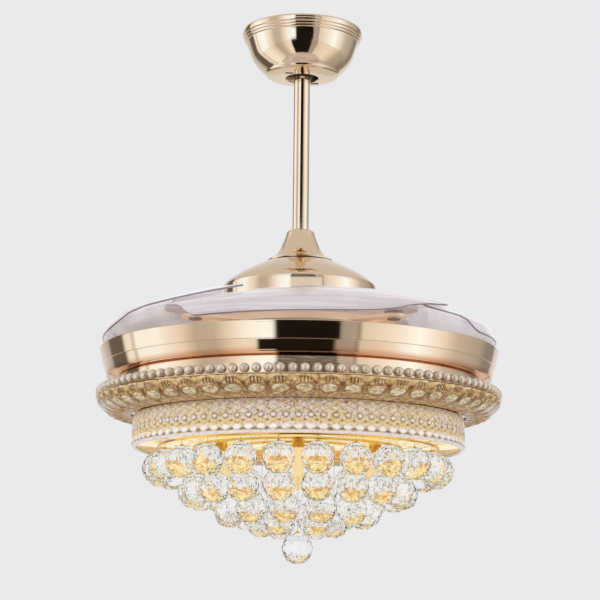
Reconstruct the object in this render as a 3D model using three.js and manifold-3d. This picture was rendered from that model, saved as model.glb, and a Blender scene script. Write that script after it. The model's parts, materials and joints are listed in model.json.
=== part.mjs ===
// Ceiling fan with folding clear blades over a crystal lamp.
// Millimetres, +Z up. The origin is the middle of the bracket's top face, which lies on the ceiling.
// Everything hangs below it, round the Z axis. Heights called "...Z" are places on that axis.
import * as THREE from 'three';
import { mergeVertices } from 'three/addons/utils/BufferGeometryUtils.js';
import Module from 'manifold-3d';

const wasm = await Module();
wasm.setup();

// Clearances
const seat = 0.3;            // between two pieces that touch
const running = 0.12;        // radial play of a turning fit
const overrun = 2;           // how far a cutting body runs past what it cuts

// Driving sizes of the whole fan
const ceilingToBand = 426;   // ceiling down to the top edge of the gold band
const bandRadius = 252;      // top edge of the gold band, 504 across with its rolled edge
const sheetMetal = 1.2;      // spun covers
const plateMetal = 2.5;      // pressed steel plates

// Turned outlines: how many flat steps go round
const roundFine = 28;
const roundMid = 24;
const roundNeck = 20;
const roundSmall = 12;
const roundHidden = 16;
const roundTiny = 8;
const arcSteps = 4;

const bandZ = -ceilingToBand;

// Ceiling bracket
const bracketLength = 100;
const bracketWidth = 52;
const bracketLegSpan = 66;   // clear width between the two legs
const bracketDrop = 58;      // ceiling to the underside of the socket plate
const socketRadius = 19.5;
const wireHoleRadius = 8;
const wireHoleOffset = 22;
const ceilingScrewRadius = 2.75;
const ceilingScrewOffset = 43;
const hookLength = 10;       // tab that passes through the canopy's floor
const hookThickness = 1.6;
const slotPlay = 1;          // rod slot that lets the ball in
const hookRadius = 28;       // circle that the two tabs stand on
const hookAzimuth = THREE.MathUtils.degToRad(54);

// Canopy
const canopyRadius = 78;     // over its rolled rim
const canopyHeight = 63.5;
const canopyTopGap = 0.5;
const canopyHoleRadius = 21.5;
const canopyOutlineShares = [   // radius share of the rim, height share from the top
  [0.98, 0], [1, 0.03], [0.995, 0.12], [0.955, 0.16], [0.93, 0.26], [0.88, 0.43], [0.76, 0.74], [0.59, 1],
];

// Remote receiver
const receiverLength = 60;
const receiverWidth = 34;
const receiverHeight = 12;

// Hanger ball, downrod and their pin
const ballRadius = 23;
const rodRadius = 10.5;
const rodWall = 1.4;
const rodTopAboveBall = 19;
const pinRadius = 3;
const pinLength = 40;

// Coupler, its bolt and the neck cover
const couplerRadius = 17.5;
const shaftTop = 119;        // above the band's top edge, as are the other heights up to the spider's
const couplerGrip = 11;      // length of shaft inside the coupler
const couplerWeb = 2;
const couplerCup = 35;       // shaft's end up to the coupler's rim
const boltRadius = 3;
const boltLength = 46;
const boltRise = 19;         // shaft's end up to the bolt
const neckRadius = 42;
const neckHeight = 40;
const neckGap = 1;           // fixed neck cover over the turning dome
const neckOutlineShares = [   // radius share of the flare, height share from the top
  [0.47, 0.02], [0.54, 0.22], [0.62, 0.5], [0.78, 0.8], [1, 1],
];

// Motor: fixed shaft and stator, turning shells
const shaftRadius = 9;
const shaftBoreRadius = 6;
const rotorRadius = 88;
const rotorWall = 2.5;
const rotorTop = 72;
const rotorBottom = 4;
const bearingRadius = 16;
const bearingWidth = 8;
const bearingLip = 2;
const statorHeight = 30;
const statorHubRadius = 24;
const windingHeight = 7;
const magnetThickness = 6;
const airGap = 1;
const shellFlange = 6;

// Spider: the plate that carries the blade pivots
const spiderBottom = 24;
const spiderThickness = 4;
const ledgeWidth = 6.4;      // what the gear ring rests on
const pilotPast = 1;         // the collar's top over the gear ring's
const lobeRadius = 16;
const armRootShare = 2;      // half width of an arm at the collar, of its lobe's radius

// Dome over the motor
const domeClear = 4;         // round the motor's flange
const domeTop = 118;
const neckLap = 5;           // the neck cover's flare over the dome's hole
const domeShoulder = 84;
const domeOutlineShares = [   // radius share of the skirt, height share from the top down to the shoulder
  [0.55, 0.08], [0.78, 0.46], [0.95, 0.76], [1, 1],
];

// Blades and their gears
const bladeCount = 4;
const firstPivot = THREE.MathUtils.degToRad(42);
const gearModule = 4;
const sectorTeeth = 17;
const ringTeeth = 68;
const addendumShare = 0.9;
const dedendumShare = 1.25;
const toothBacklash = 0.5;
const pressureAngle = THREE.MathUtils.degToRad(20);
const swing = THREE.MathUtils.degToRad(145);
const gearBottom = 33;
const gearThickness = 5;
const ringBody = 13.1;       // the ring's bore to its tooth roots
const ringClear = 0.5;       // how far the ring stays below the sectors' top face
const postRadius = 5;
const postHeadRadius = 9.5;
const postHeadHeight = 2.9;
const rivetRadius = 8;
const rivetHeight = 2;
const hubRadius = 8;
const springRadius = 13;
const springWire = 3.5;
const tongueLength = 36;
const tongueWidth = 22;
const tongueAzimuth = THREE.MathUtils.degToRad(97);
const bladeThickness = 2.5;
const bladePadTop = 45;
const bladeInset = 3;        // outer edge inside the band's top edge
const bladeWidth = 147;
const bladeTipInset = 65;
const bladeHeel = THREE.MathUtils.degToRad(-8);
const bladeTip = THREE.MathUtils.degToRad(116.5);
const bladeLift = 10.5;        // how far a blade climbs from its heel to its tip
const bladeRootEnd = THREE.MathUtils.degToRad(20);
const bladeTaperStart = THREE.MathUtils.degToRad(50);
const outerBow = 0.7;        // how the edges curve away from the heel and in towards the tip: exponents
const innerBow = 0.9;
const outerTaper = 3.4;
const innerTaper = 2.2;
const padReach = 50;         // flat beside the pivot, along the blade
const padBlend = 45;
const padWidthShare = 0.32;  // half the flat's width, of the way from the pivot to the outer edge
const roofTop = 75;
const roofShares = [          // folded blades' top: share of the way in (-) or out, height share
  [-1, 0.975], [-0.89, 0.936], [-0.49, 0.88], [-0.18, 0.825], [0.09, 0.765], [0.29, 0.698],
  [0.46, 0.638], [0.64, 0.568], [0.79, 0.505], [0.89, 0.465], [0.95, 0.43], [1, 0.345],
];
const bladeAcrossShares = [0, 0.2, 0.36, 0.56, 0.74, 0.9, 1];
const bladeAlongShares = [0, 0.05, 0.11, 0.18, 0.26, 0.35, 0.45, 0.55, 0.66, 0.77, 0.88, 0.95, 1];
const slopeStep = 1;

// Gold band and the cover inside it
const bandHeight = 35;
const bandLip = 28;          // width of the bottom lip, from the top edge's radius inwards
const bandLipThickness = 1.5;
const bandOutlineShares = [   // radius share of the top edge, height share
  [0.985, 0.02], [0.998, 0], [0.996, 0.14], [0.984, 0.43], [0.963, 0.96],
];
const coverCrest = 18;
const coverCrestWidth = 25;
const coverWell = 3;         // the well's wall outside the support plate's edge
const coverFoot = 13;
const coverRimDrop = 5;

// Support plate, spacer, nut and the light pan below the band
const supportDrop = 9;
const supportRadius = 106;
const shaftFlangeRadius = 20;
const shaftFlangeHeight = 6;
const spacerRadius = 14;
const nutFlats = 27;
const nutHeight = 6;
const shaftEnd = 48;
const panWallPast = 4;       // neck wall outside the band's lip
const panWallHeight = 13.2;
const panShelf = 18;
const panSkirtHeight = 12.5;
const panLip = 9.5;
const panMetal = 1.5;

// Driver box on the light pan
const driverLength = 110;
const driverWidth = 42;
const driverHeight = 20;
const driverOffset = 150;

// Bead ring
const beadCount = 112;
const beadBackThickness = 2.2;
const beadBackHeight = 11.2;  // one bead's diameter

// Crystal ring of rounded bars
const barCount = 55;
const barInset = 1.5;        // top of the bars inside the pan's lip
const barOverhang = 41;      // how far the bars' top stands out over their foot
const barHeight = 27;
const barDepth = 3.2;        // how deep the valleys between the bars are
const barTopThickness = 11;
const barFootThickness = 4;
const barBackDropShare = 0.72;
const barOutlineShares = [    // share of the way out from bottom to top radius, height share
  [1, 0], [0.96, 0.24], [0.7, 0.58], [0, 1],
];

// Faceted crystal band
const latticeColumns = 90;
const latticeRows = 2;
const latticeInset = 7;      // inside the bars' foot
const latticeThickness = 2.5;
const latticeRelief = 3;
const latticeGap = 0.8;      // below the bars
const latticeHeight = 33.4;

// Mirror plate, bulbs and crystal balls
const mirrorRise = 3;        // the plate's face above the faceted band's foot
const mirrorThickness = 1.5;
const bulbCount = 6;
const bulbCircleShare = 0.537;  // of the mirror plate's radius
const bulbRadius = 7.5;
const bulbLength = 34;
const socketHeight = 10;
const crystalRadius = 20;
const hangerSection = 2.2;
const wireRadius = 0.9;
const wireBite = 0.5;
const crystalSides = 6;
const bulbNeckShare = 0.8;
const bulbTipShare = 0.6;
const bulbTipRiseShare = 0.3;
const crystalFacetShares = [[0.93, -0.5], [0.93, 0.5]];
const lowestDrop = 125;      // mirror plate down to the middle ball's centre
const tierCounts = [24, 18, 12, 6];
const tierRadiusShares = [0.868, 0.646, 0.429, 0.222];  // of the mirror plate's radius
const tierDropShares = [0.232, 0.456, 0.64, 0.741];     // of the middle ball's drop
const tierTurnShares = [0.5, 0, 0.64, 0];               // of the step from ball to ball
const dropBossRadius = 6;

// Finishes
const finishes = {
  champagne: { color: 0xd9b48a, roughness: 0.12, metalness: 1 },
  rose: { color: 0xdca47e, roughness: 0.1, metalness: 1 },
  steel: { color: 0xa9abad, roughness: 0.4, metalness: 1 },
  black: { color: 0x1c1a19, roughness: 0.5, metalness: 0 },
  copper: { color: 0xb06a3c, roughness: 0.45, metalness: 1 },
  magnet: { color: 0x4a4c50, roughness: 0.6, metalness: 0.3 },
  nylon: { color: 0xe9e6de, roughness: 0.55, metalness: 0 },
  clear: { color: 0xe6e2ea, roughness: 0.05, metalness: 0, transparent: true, opacity: 0.35 },
  crystal: { color: 0xf4efe2, roughness: 0.03, metalness: 0, transparent: true, opacity: 0.5 },
  amber: { color: 0xe8cfa4, roughness: 0.06, metalness: 0, transparent: true, opacity: 0.6 },
  mirror: { color: 0xe3b54e, roughness: 0.06, metalness: 1 },
  pearl: { color: 0xf1e6d6, roughness: 0.15, metalness: 0.2 },
  glow: { color: 0xffe2a8, roughness: 0.3, metalness: 0, emissive: 0xffc966, emissiveIntensity: 1 },
};

const fan = new THREE.Group();
const turn = Math.PI * 2;
const weldReach = 1e-4;

// Radii that follow from the sizes above, from the gears outwards and from the band inwards
const ringPitch = gearModule * ringTeeth / 2;
const pivotRadius = ringPitch + gearModule * sectorTeeth / 2;
const pilotRadius = ringPitch - dedendumShare * gearModule - ringBody - seat;
const collarOuter = pilotRadius + ledgeWidth;
const shellFlangeRadius = rotorRadius + shellFlange;
const domeRadius = shellFlangeRadius + domeClear;
const bladeOuter = bandRadius - bladeInset;
const bladeInner = bladeOuter - bladeWidth;
const bladeTipRadius = bladeOuter - bladeTipInset;
const bandLipRadius = bandRadius - bandLip;
const panWallRadius = bandLipRadius + panWallPast;
const panSkirtRadius = panWallRadius + panShelf;
const panLipRadius = panSkirtRadius + panLip;
const barTopRadius = panLipRadius - barInset;
const barFootRadius = barTopRadius - barOverhang;
const latticeRadius = barFootRadius - latticeInset;
const latticeInner = latticeRadius - latticeThickness;
const mirrorRadius = latticeInner * Math.cos(Math.PI / latticeColumns) - seat;

// Heights that follow, from the dome down to the mirror plate
const shaftTopZ = bandZ + shaftTop;
const domeTopZ = bandZ + domeTop;
const neckLowZ = domeTopZ + neckGap;
const neckHighZ = neckLowZ + neckHeight;
const spiderLowZ = bandZ + spiderBottom;
const spiderHighZ = spiderLowZ + spiderThickness;
const gearLowZ = bandZ + gearBottom;
const gearHighZ = gearLowZ + gearThickness;
const collarHighZ = gearHighZ - ringClear + pilotPast;
const supportZ = bandZ - supportDrop;
const panTopZ = bandZ - bandHeight - bandLipThickness - seat;
const panShelfZ = panTopZ - panWallHeight;
const panLipZ = panShelfZ - panSkirtHeight;
const barTopZ = panLipZ - seat;
const latticeHighZ = barTopZ - barHeight - latticeGap;
const latticeLowZ = latticeHighZ - latticeHeight;
const mirrorLowZ = latticeLowZ + mirrorRise;

// Adds one named piece to a group, with a material of its own.
function piece(name, geometry, finish, parent = fan) {
  const mesh = new THREE.Mesh(geometry, new THREE.MeshStandardMaterial(finishes[finish]));
  mesh.name = name;
  parent.add(mesh);
  return mesh;
}

// Joins equal corners and drops faces without area, so that the mesh is one closed surface.
function weld(geometry) {
  const bare = new THREE.BufferGeometry();
  bare.setAttribute('position', geometry.getAttribute('position').clone());
  bare.setIndex(geometry.getIndex() ? geometry.getIndex().clone() : null);
  const merged = mergeVertices(bare, weldReach);
  const index = merged.getIndex();
  const kept = [];
  for (let i = 0; i < index.count; i += 3) {
    const corner = [index.getX(i), index.getX(i + 1), index.getX(i + 2)];
    if (new Set(corner).size === corner.length) kept.push(...corner);
  }
  merged.setIndex(kept);
  return merged;
}

function toSolid(geometry) {
  const merged = weld(geometry);
  return new wasm.Manifold(new wasm.Mesh({
    numProp: 3,
    vertProperties: Float32Array.from(merged.getAttribute('position').array),
    triVerts: Uint32Array.from(merged.getIndex().array),
  }));
}

function fromSolid(solid) {
  const mesh = solid.getMesh();
  const geometry = new THREE.BufferGeometry();
  geometry.setAttribute('position', new THREE.BufferAttribute(Float32Array.from(mesh.vertProperties), 3));
  geometry.setIndex(new THREE.BufferAttribute(Uint32Array.from(mesh.triVerts), 1));
  return geometry;
}

function join(...geometries) {
  return fromSolid(geometries.map(toSolid).reduce((all, one) => all.add(one)));
}

function cut(geometry, ...tools) {
  return fromSolid(tools.map(toSolid).reduce((left, tool) => left.subtract(tool), toSolid(geometry)));
}

// Turns a closed outline of [radius, height] points round Z. An outline may also start and end on the axis.
function revolve(outline, steps = roundMid) {
  let area = 0;
  outline.forEach(([r, z], i) => {
    const [nextR, nextZ] = outline[(i + 1) % outline.length];
    area += r * nextZ - nextR * z;
  });
  const points = outline.map(([r, z]) => new THREE.Vector2(r, z));
  if (area < 0) points.reverse();
  const onAxis = points[0].x === 0 && points[points.length - 1].x === 0;
  if (!onAxis) points.push(points[0].clone());
  return weld(new THREE.LatheGeometry(points, steps).rotateX(Math.PI / 2).rotateZ(Math.PI / 2));
}

function ring(inner, outer, low, high, steps = roundMid) {
  return revolve([[inner, low], [outer, low], [outer, high], [inner, high]], steps);
}

function disc(radius, low, high, steps = roundMid) {
  return revolve([[0, low], [radius, low], [radius, high], [0, high]], steps);
}

function box(length, width, low, high) {
  return new THREE.BoxGeometry(length, width, high - low).translate(0, 0, (low + high) / 2);
}

function extrude(shape, low, high) {
  return new THREE.ExtrudeGeometry(shape, { depth: high - low, bevelEnabled: false, curveSegments: arcSteps })
    .translate(0, 0, low);
}

// A bore whose flats clear a turning pin of this radius
function boreFor(radius, steps) {
  return (radius + running) / Math.cos(Math.PI / steps);
}

// A second skin, one wall thickness to the left of the outline's direction of travel
function offsetOutline(outline, wall) {
  return outline.map((point, i) => {
    const before = outline[Math.max(i - 1, 0)];
    const after = outline[Math.min(i + 1, outline.length - 1)];
    const along = new THREE.Vector2(after[0] - before[0], after[1] - before[1]).normalize();
    return [point[0] - along.y * wall, point[1] + along.x * wall];
  });
}

// A spun cover: the outline is its outside, and the wall lies to the left of it.
function spunCover(outline, wall, steps) {
  return revolve([...outline, ...offsetOutline(outline, wall).reverse()], steps);
}

// Value at x on a table of [x, value] rows, straight between rows
function lookUp(table, x) {
  const last = table.length - 1;
  if (x <= table[0][0]) return table[0][1];
  if (x >= table[last][0]) return table[last][1];
  const i = table.findIndex((row) => row[0] > x);
  const [x0, y0] = table[i - 1];
  const [x1, y1] = table[i];
  return y0 + (y1 - y0) * (x - x0) / (x1 - x0);
}

// A cylinder lying along X
function crossBar(radius, length, height) {
  return new THREE.CylinderGeometry(radius, radius, length, roundTiny)
    .rotateZ(Math.PI / 2)
    .translate(0, 0, height);
}

// The ball rests on the upper edge of the bracket's socket
const ballZ = plateMetal - bracketDrop + Math.sqrt((ballRadius + seat) ** 2 - socketRadius ** 2);
const canopyFloorZ = -canopyTopGap - canopyHeight;

// Ceiling bracket: a pressed hat shape, with a socket for the ball and two tabs for the canopy
function makeBracket() {
  const halfSpan = bracketLegSpan / 2;
  const hat = new THREE.Shape([
    new THREE.Vector2(-bracketLength / 2, 0),
    new THREE.Vector2(-bracketLength / 2, -plateMetal),
    new THREE.Vector2(-halfSpan - plateMetal, -plateMetal),
    new THREE.Vector2(-halfSpan - plateMetal, -bracketDrop),
    new THREE.Vector2(halfSpan + plateMetal, -bracketDrop),
    new THREE.Vector2(halfSpan + plateMetal, -plateMetal),
    new THREE.Vector2(bracketLength / 2, -plateMetal),
    new THREE.Vector2(bracketLength / 2, 0),
  ]);
  hat.holes.push(new THREE.Path([
    new THREE.Vector2(-halfSpan, -plateMetal),
    new THREE.Vector2(halfSpan, -plateMetal),
    new THREE.Vector2(halfSpan, plateMetal - bracketDrop),
    new THREE.Vector2(-halfSpan, plateMetal - bracketDrop),
  ]));
  const body = extrude(hat, 0, bracketWidth).rotateX(Math.PI / 2).translate(0, bracketWidth / 2, 0);
  const low = -bracketDrop - overrun;
  const high = plateMetal - bracketDrop + overrun;
  const tools = [
    disc(socketRadius / Math.cos(Math.PI / roundSmall), low, high, roundSmall),
    box(2 * rodRadius + slotPlay, bracketWidth, low, high).translate(0, bracketWidth / 2, 0),
    disc(wireHoleRadius, -plateMetal - overrun, overrun, roundTiny).translate(wireHoleOffset, 0, 0),
  ];
  for (const side of [-1, 1]) {
    tools.push(disc(ceilingScrewRadius, -plateMetal - overrun, overrun, roundTiny)
      .translate(side * ceilingScrewOffset, 0, 0));
  }
  const tabs = [0, Math.PI].map((half) => {
    const tab = box(hookLength, hookThickness, canopyFloorZ, plateMetal - bracketDrop);
    const azimuth = hookAzimuth + half;
    return tab.translate(hookRadius * Math.cos(azimuth), hookRadius * Math.sin(azimuth), 0);
  });
  return join(cut(body, ...tools), ...tabs);
}

// Canopy: a spun bowl, open at the ceiling, with a rolled rim and a flat floor round the ball
function makeCanopy() {
  const wall = canopyOutlineShares.map(([r, z]) => [r * canopyRadius, -canopyTopGap - z * canopyHeight]);
  const skin = [[canopyHoleRadius, canopyFloorZ], ...wall.reverse()];
  const bowl = spunCover(skin, sheetMetal, roundMid);
  const slots = [0, Math.PI].map((half) => {
    const slot = box(hookLength + 2 * seat, hookThickness + 2 * seat, canopyFloorZ - overrun,
      canopyFloorZ + sheetMetal + overrun);
    const azimuth = hookAzimuth + half;
    return slot.translate(hookRadius * Math.cos(azimuth), hookRadius * Math.sin(azimuth), 0);
  });
  return cut(bowl, ...slots);
}

// Hanger ball, bored for the rod: one of its corner rings lies on the socket's edge
function makeBall() {
  const bore = Math.asin((rodRadius + seat) / Math.cos(Math.PI / roundSmall) / ballRadius);
  const contact = Math.asin(socketRadius / (ballRadius + seat));
  const outline = [bore, contact, Math.PI / 2, Math.PI - contact, Math.PI - bore].map((angle) => [
    ballRadius * Math.sin(angle), ballZ - ballRadius * Math.cos(angle),
  ]);
  const ball = revolve(outline, roundSmall).rotateZ(Math.PI / roundSmall);
  return cut(ball, crossBar(pinRadius + seat, 2 * ballRadius + overrun, ballZ));
}

const rodTopZ = ballZ + rodTopAboveBall;
const boltZ = shaftTopZ + boltRise;
const rodEndZ = shaftTopZ + couplerWeb + 2 * seat;

function makeDownrod() {
  const tube = ring(rodRadius - rodWall, rodRadius, rodEndZ, rodTopZ, roundSmall);
  const across = 2 * rodRadius + overrun;
  return cut(tube, crossBar(pinRadius + seat, across, ballZ), crossBar(boltRadius + seat, across, boltZ));
}

function makeCoupler() {
  const webZ = shaftTopZ + seat;
  const lowZ = shaftTopZ - couplerGrip;
  const highZ = shaftTopZ + couplerCup;
  const body = revolve([
    [shaftBoreRadius, webZ], [shaftRadius + seat, webZ], [shaftRadius + seat, lowZ], [couplerRadius, lowZ],
    [couplerRadius, highZ], [rodRadius + seat, highZ], [rodRadius + seat, webZ + couplerWeb],
    [shaftBoreRadius, webZ + couplerWeb],
  ], roundSmall);
  return cut(body, crossBar(boltRadius + seat, 2 * couplerRadius + overrun, boltZ));
}

function makeNeckCover() {
  const wall = neckOutlineShares.map(([r, z]) => [r * neckRadius, neckHighZ - z * neckHeight]);
  return spunCover([[rodRadius + seat, neckHighZ], ...wall].reverse(), sheetMetal, roundNeck);
}

// The hollow shaft that everything fixed hangs on: it runs down through the motor.
function makeShaft() {
  const top = shaftTopZ;
  return revolve([
    [shaftBoreRadius, bandZ - shaftEnd], [shaftRadius, bandZ - shaftEnd], [shaftRadius, supportZ + seat],
    [shaftFlangeRadius, supportZ + seat], [shaftFlangeRadius, supportZ + shaftFlangeHeight],
    [shaftRadius, supportZ + shaftFlangeHeight], [shaftRadius, top], [shaftBoreRadius, top],
  ], roundSmall);
}

const shellInner = rotorRadius - rotorWall;
const shaftGap = shaftRadius + airGap;
const magnetOuter = shellInner - seat / Math.cos(Math.PI / roundHidden);

// Stator: a hub, a stack of laminations and windings that stand out above and below
function makeStator() {
  const middle = bandZ + (rotorTop + rotorBottom) / 2;
  const stack = statorHeight / 2;
  const statorRadius = (magnetOuter - magnetThickness) * Math.cos(Math.PI / roundHidden) - airGap;
  const coilOuter = statorRadius - windingHeight;
  const coilInner = statorHubRadius + windingHeight;
  const low = middle - stack - windingHeight;
  const high = middle + stack + windingHeight;
  return revolve([
    [shaftRadius + seat, middle - stack], [coilInner, low], [coilOuter, low],
    [statorRadius, middle - stack],
    [statorRadius, middle + stack], [coilOuter, high], [coilInner, high],
    [shaftRadius + seat, middle + stack],
  ], roundSmall);
}

// A motor shell: a cup with a boss for its bearing. The lower one is the same shape turned over.
function makeShell(endZ, rimZ) {
  const inward = Math.sign(rimZ - endZ);
  const lipZ = endZ + inward * rotorWall;
  const bossZ = lipZ + inward * (bearingLip + bearingWidth);
  const flangeZ = rimZ - inward * rotorWall;
  return revolve([
    [shaftGap + rotorWall, endZ], [rotorRadius, endZ], [rotorRadius, flangeZ], [shellFlangeRadius, flangeZ],
    [shellFlangeRadius, rimZ], [shellInner, rimZ], [shellInner, lipZ],
    [bearingRadius + seat + rotorWall, lipZ], [bearingRadius + seat + rotorWall, bossZ],
    [bearingRadius + seat, bossZ], [bearingRadius + seat, lipZ], [shaftGap + rotorWall, lipZ],
  ], roundHidden);
}

function makeBearing(lowZ) {
  return ring(boreFor(shaftRadius, roundSmall), bearingRadius, lowZ, lowZ + bearingWidth, roundSmall);
}

function makeMagnetRing() {
  const middle = bandZ + (rotorTop + rotorBottom) / 2;
  const half = statorHeight / 2;
  return ring(magnetOuter - magnetThickness, magnetOuter, middle - half, middle + half, roundHidden);
}

// Azimuth of each blade pivot
const pivotAzimuths = Array.from({ length: bladeCount }, (_, i) => firstPivot + turn * i / bladeCount);

// Spider: a ring plate with four tapering arms out to the pivots, and a stepped collar for the gear ring
function makeSpider() {
  const collarInner = (shellFlangeRadius + seat) / Math.cos(Math.PI / roundMid);
  const bore = shellInner / Math.cos(Math.PI / roundMid);
  const plate = revolve([
    [bore, spiderLowZ], [collarOuter, spiderLowZ], [collarOuter, gearLowZ - seat],
    [pilotRadius, gearLowZ - seat], [pilotRadius, collarHighZ], [collarInner, collarHighZ],
    [collarInner, spiderHighZ], [bore, spiderHighZ],
  ], roundMid);
  const reach = pivotRadius - collarOuter * Math.cos(Math.PI / roundMid) + overrun;
  const arms = pivotAzimuths.map((azimuth) => {
    const arm = new THREE.Shape();
    arm.moveTo(-reach, -armRootShare * lobeRadius);
    arm.lineTo(0, -lobeRadius);
    arm.absarc(0, 0, lobeRadius, -Math.PI / 2, Math.PI / 2, false);
    arm.lineTo(-reach, armRootShare * lobeRadius);
    arm.closePath();
    const hole = new THREE.Path();
    hole.absarc(0, 0, boreFor(postRadius, roundTiny), 0, turn, true);
    arm.holes.push(hole);
    return extrude(arm, spiderLowZ, spiderHighZ).translate(pivotRadius, 0, 0).rotateZ(azimuth);
  });
  return join(plate, ...arms);
}

function makeDome() {
  const height = domeTop - domeShoulder;
  const crown = domeOutlineShares.map(([r, z]) => [r * domeRadius, domeTopZ - z * height]);
  const skin = [[neckRadius - neckLap, domeTopZ - airGap / 2], ...crown, [domeRadius, collarHighZ + seat]];
  return spunCover(skin.reverse(), sheetMetal, roundMid);
}

// Half of a tooth's angle at a radius, from the involute of the gear
function toothHalfAngle(teeth, radius) {
  const pitch = gearModule * teeth / 2;
  const base = pitch * Math.cos(pressureAngle);
  const involute = (angle) => Math.tan(angle) - angle;
  const at = radius <= base ? 0 : Math.acos(base / radius);
  const half = Math.PI / (2 * teeth) - toothBacklash / (2 * pitch);
  return half + involute(pressureAngle) - involute(at);
}

// Outline of a row of teeth, whose centres lie on whole steps from "start"
function gearOutline(teeth, start, count) {
  const pitch = gearModule * teeth / 2;
  const root = pitch - dedendumShare * gearModule;
  const tip = pitch + addendumShare * gearModule;
  const step = turn / teeth;
  const points = [];
  for (let i = 0; i < count; i += 1) {
    const corners = [[root, -1], [tip, -1], [tip, 1], [root, 1]];
    corners.forEach(([radius, side]) => {
      const angle = start + i * step + side * toothHalfAngle(teeth, radius);
      points.push(new THREE.Vector2(radius * Math.cos(angle), radius * Math.sin(angle)));
    });
  }
  return { points, root, step, end: start + (count - 1) * step };
}

const armHighZ = bandZ + bladePadTop - bladeThickness - seat;

// Gear ring: floats on the spider's collar and makes the four blades swing alike
function makeGearRing() {
  const ratioShare = sectorTeeth / ringTeeth;
  const before = Math.ceil(swing * ratioShare / (turn / ringTeeth)) + 1;
  const after = 1;
  const shape = new THREE.Shape();
  const outline = [];
  pivotAzimuths.forEach((azimuth) => {
    const start = azimuth - before * turn / ringTeeth;
    const arc = gearOutline(ringTeeth, start, before + after + 1);
    outline.push(...arc.points);
    const gapStart = arc.end + arc.step / 2;
    const gapEnd = start + turn / bladeCount - arc.step / 2;
    const steps = 2;
    for (let i = 0; i <= steps; i += 1) {
      const angle = gapStart + (gapEnd - gapStart) * i / steps;
      outline.push(new THREE.Vector2(arc.root * Math.cos(angle), arc.root * Math.sin(angle)));
    }
  });
  shape.setFromPoints(outline);
  const hole = new THREE.Path();
  const bore = (pilotRadius + seat) / Math.cos(Math.PI / roundMid);
  hole.setFromPoints(Array.from({ length: roundMid }, (_, i) => {
    const angle = -turn * i / roundMid;
    return new THREE.Vector2(bore * Math.cos(angle), bore * Math.sin(angle));
  }));
  shape.holes.push(hole);
  return extrude(shape, gearLowZ, gearHighZ - ringClear);
}

// Blade arm: a gear sector, a hub on the post and a tongue under the blade's root, about its own pivot
function makeBladeArm() {
  const step = turn / sectorTeeth;
  const count = Math.ceil(swing / step) + 2;
  const arc = gearOutline(sectorTeeth, Math.PI - step / 2, count);
  const outline = arc.points;
  const steps = 4;
  const from = arc.end + step / 2;
  const to = Math.PI - step + turn;
  for (let i = 0; i <= steps; i += 1) {
    const angle = from + (to - from) * i / steps;
    outline.push(new THREE.Vector2(arc.root * Math.cos(angle), arc.root * Math.sin(angle)));
  }
  const sector = new THREE.Shape(outline);
  const half = tongueWidth / 2;
  const tongue = new THREE.Shape();
  tongue.moveTo(tongueLength - half, -half);
  tongue.absarc(tongueLength - half, 0, half, -Math.PI / 2, Math.PI / 2, false);
  tongue.lineTo(0, half);
  tongue.absarc(0, 0, half, Math.PI / 2, 3 * Math.PI / 2, false);
  tongue.closePath();
  const body = join(
    extrude(sector, gearLowZ, gearHighZ),
    extrude(tongue, gearHighZ - seat, armHighZ).rotateZ(tongueAzimuth),
    disc(hubRadius, gearHighZ - seat, bandZ + bladePadTop + seat, roundTiny),
  );
  const bore = boreFor(postRadius, roundTiny);
  return cut(body, disc(bore, gearLowZ - overrun, bandZ + bladePadTop + overrun, roundTiny));
}

function makePost() {
  const headZ = bandZ + bladePadTop + 2 * seat;
  const rivetZ = spiderLowZ - seat;
  return revolve([
    [0, rivetZ - rivetHeight], [rivetRadius, rivetZ - rivetHeight], [rivetRadius, rivetZ],
    [postRadius, rivetZ], [postRadius, headZ], [postHeadRadius, headZ],
    [postHeadRadius, headZ + postHeadHeight], [0, headZ + postHeadHeight],
  ], roundTiny);
}

// Outer and inner edge of the folded blade, at an angle round the fan's axis from its pivot
function bladeEdge(angle) {
  if (angle < bladeRootEnd) {
    const bow = Math.sin(Math.PI / 2 * (angle - bladeHeel) / (bladeRootEnd - bladeHeel));
    return {
      outer: pivotRadius + (bladeOuter - pivotRadius) * bow ** outerBow,
      inner: pivotRadius - (pivotRadius - bladeInner) * bow ** innerBow,
    };
  }
  const share = Math.max(0, (angle - bladeTaperStart) / (bladeTip - bladeTaperStart));
  return {
    outer: bladeOuter - (bladeOuter - bladeTipRadius) * share ** outerTaper,
    inner: bladeInner + (bladeTipRadius - bladeInner) * share ** innerTaper,
  };
}

// Height of the folded blade's top face
function bladeHeight(radius, angle) {
  const climb = bladeLift * (bladeTip - angle) / (bladeTip - bladeHeel);
  const past = radius - pivotRadius;
  const place = past / (past < 0 ? pivotRadius - bladeInner : bladeOuter - pivotRadius);
  const roof = roofTop * lookUp(roofShares, place) - climb;
  const padHalfWidth = padWidthShare * (bladeOuter - pivotRadius);
  const outward = (radius * Math.cos(angle) - pivotRadius) * padReach / padHalfWidth;
  const fromPivot = Math.hypot(outward, radius * Math.sin(angle));
  const blend = THREE.MathUtils.smoothstep(fromPivot, padReach, padReach + padBlend);
  return bandZ + THREE.MathUtils.lerp(bladePadTop, roof, blend);
}

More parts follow.
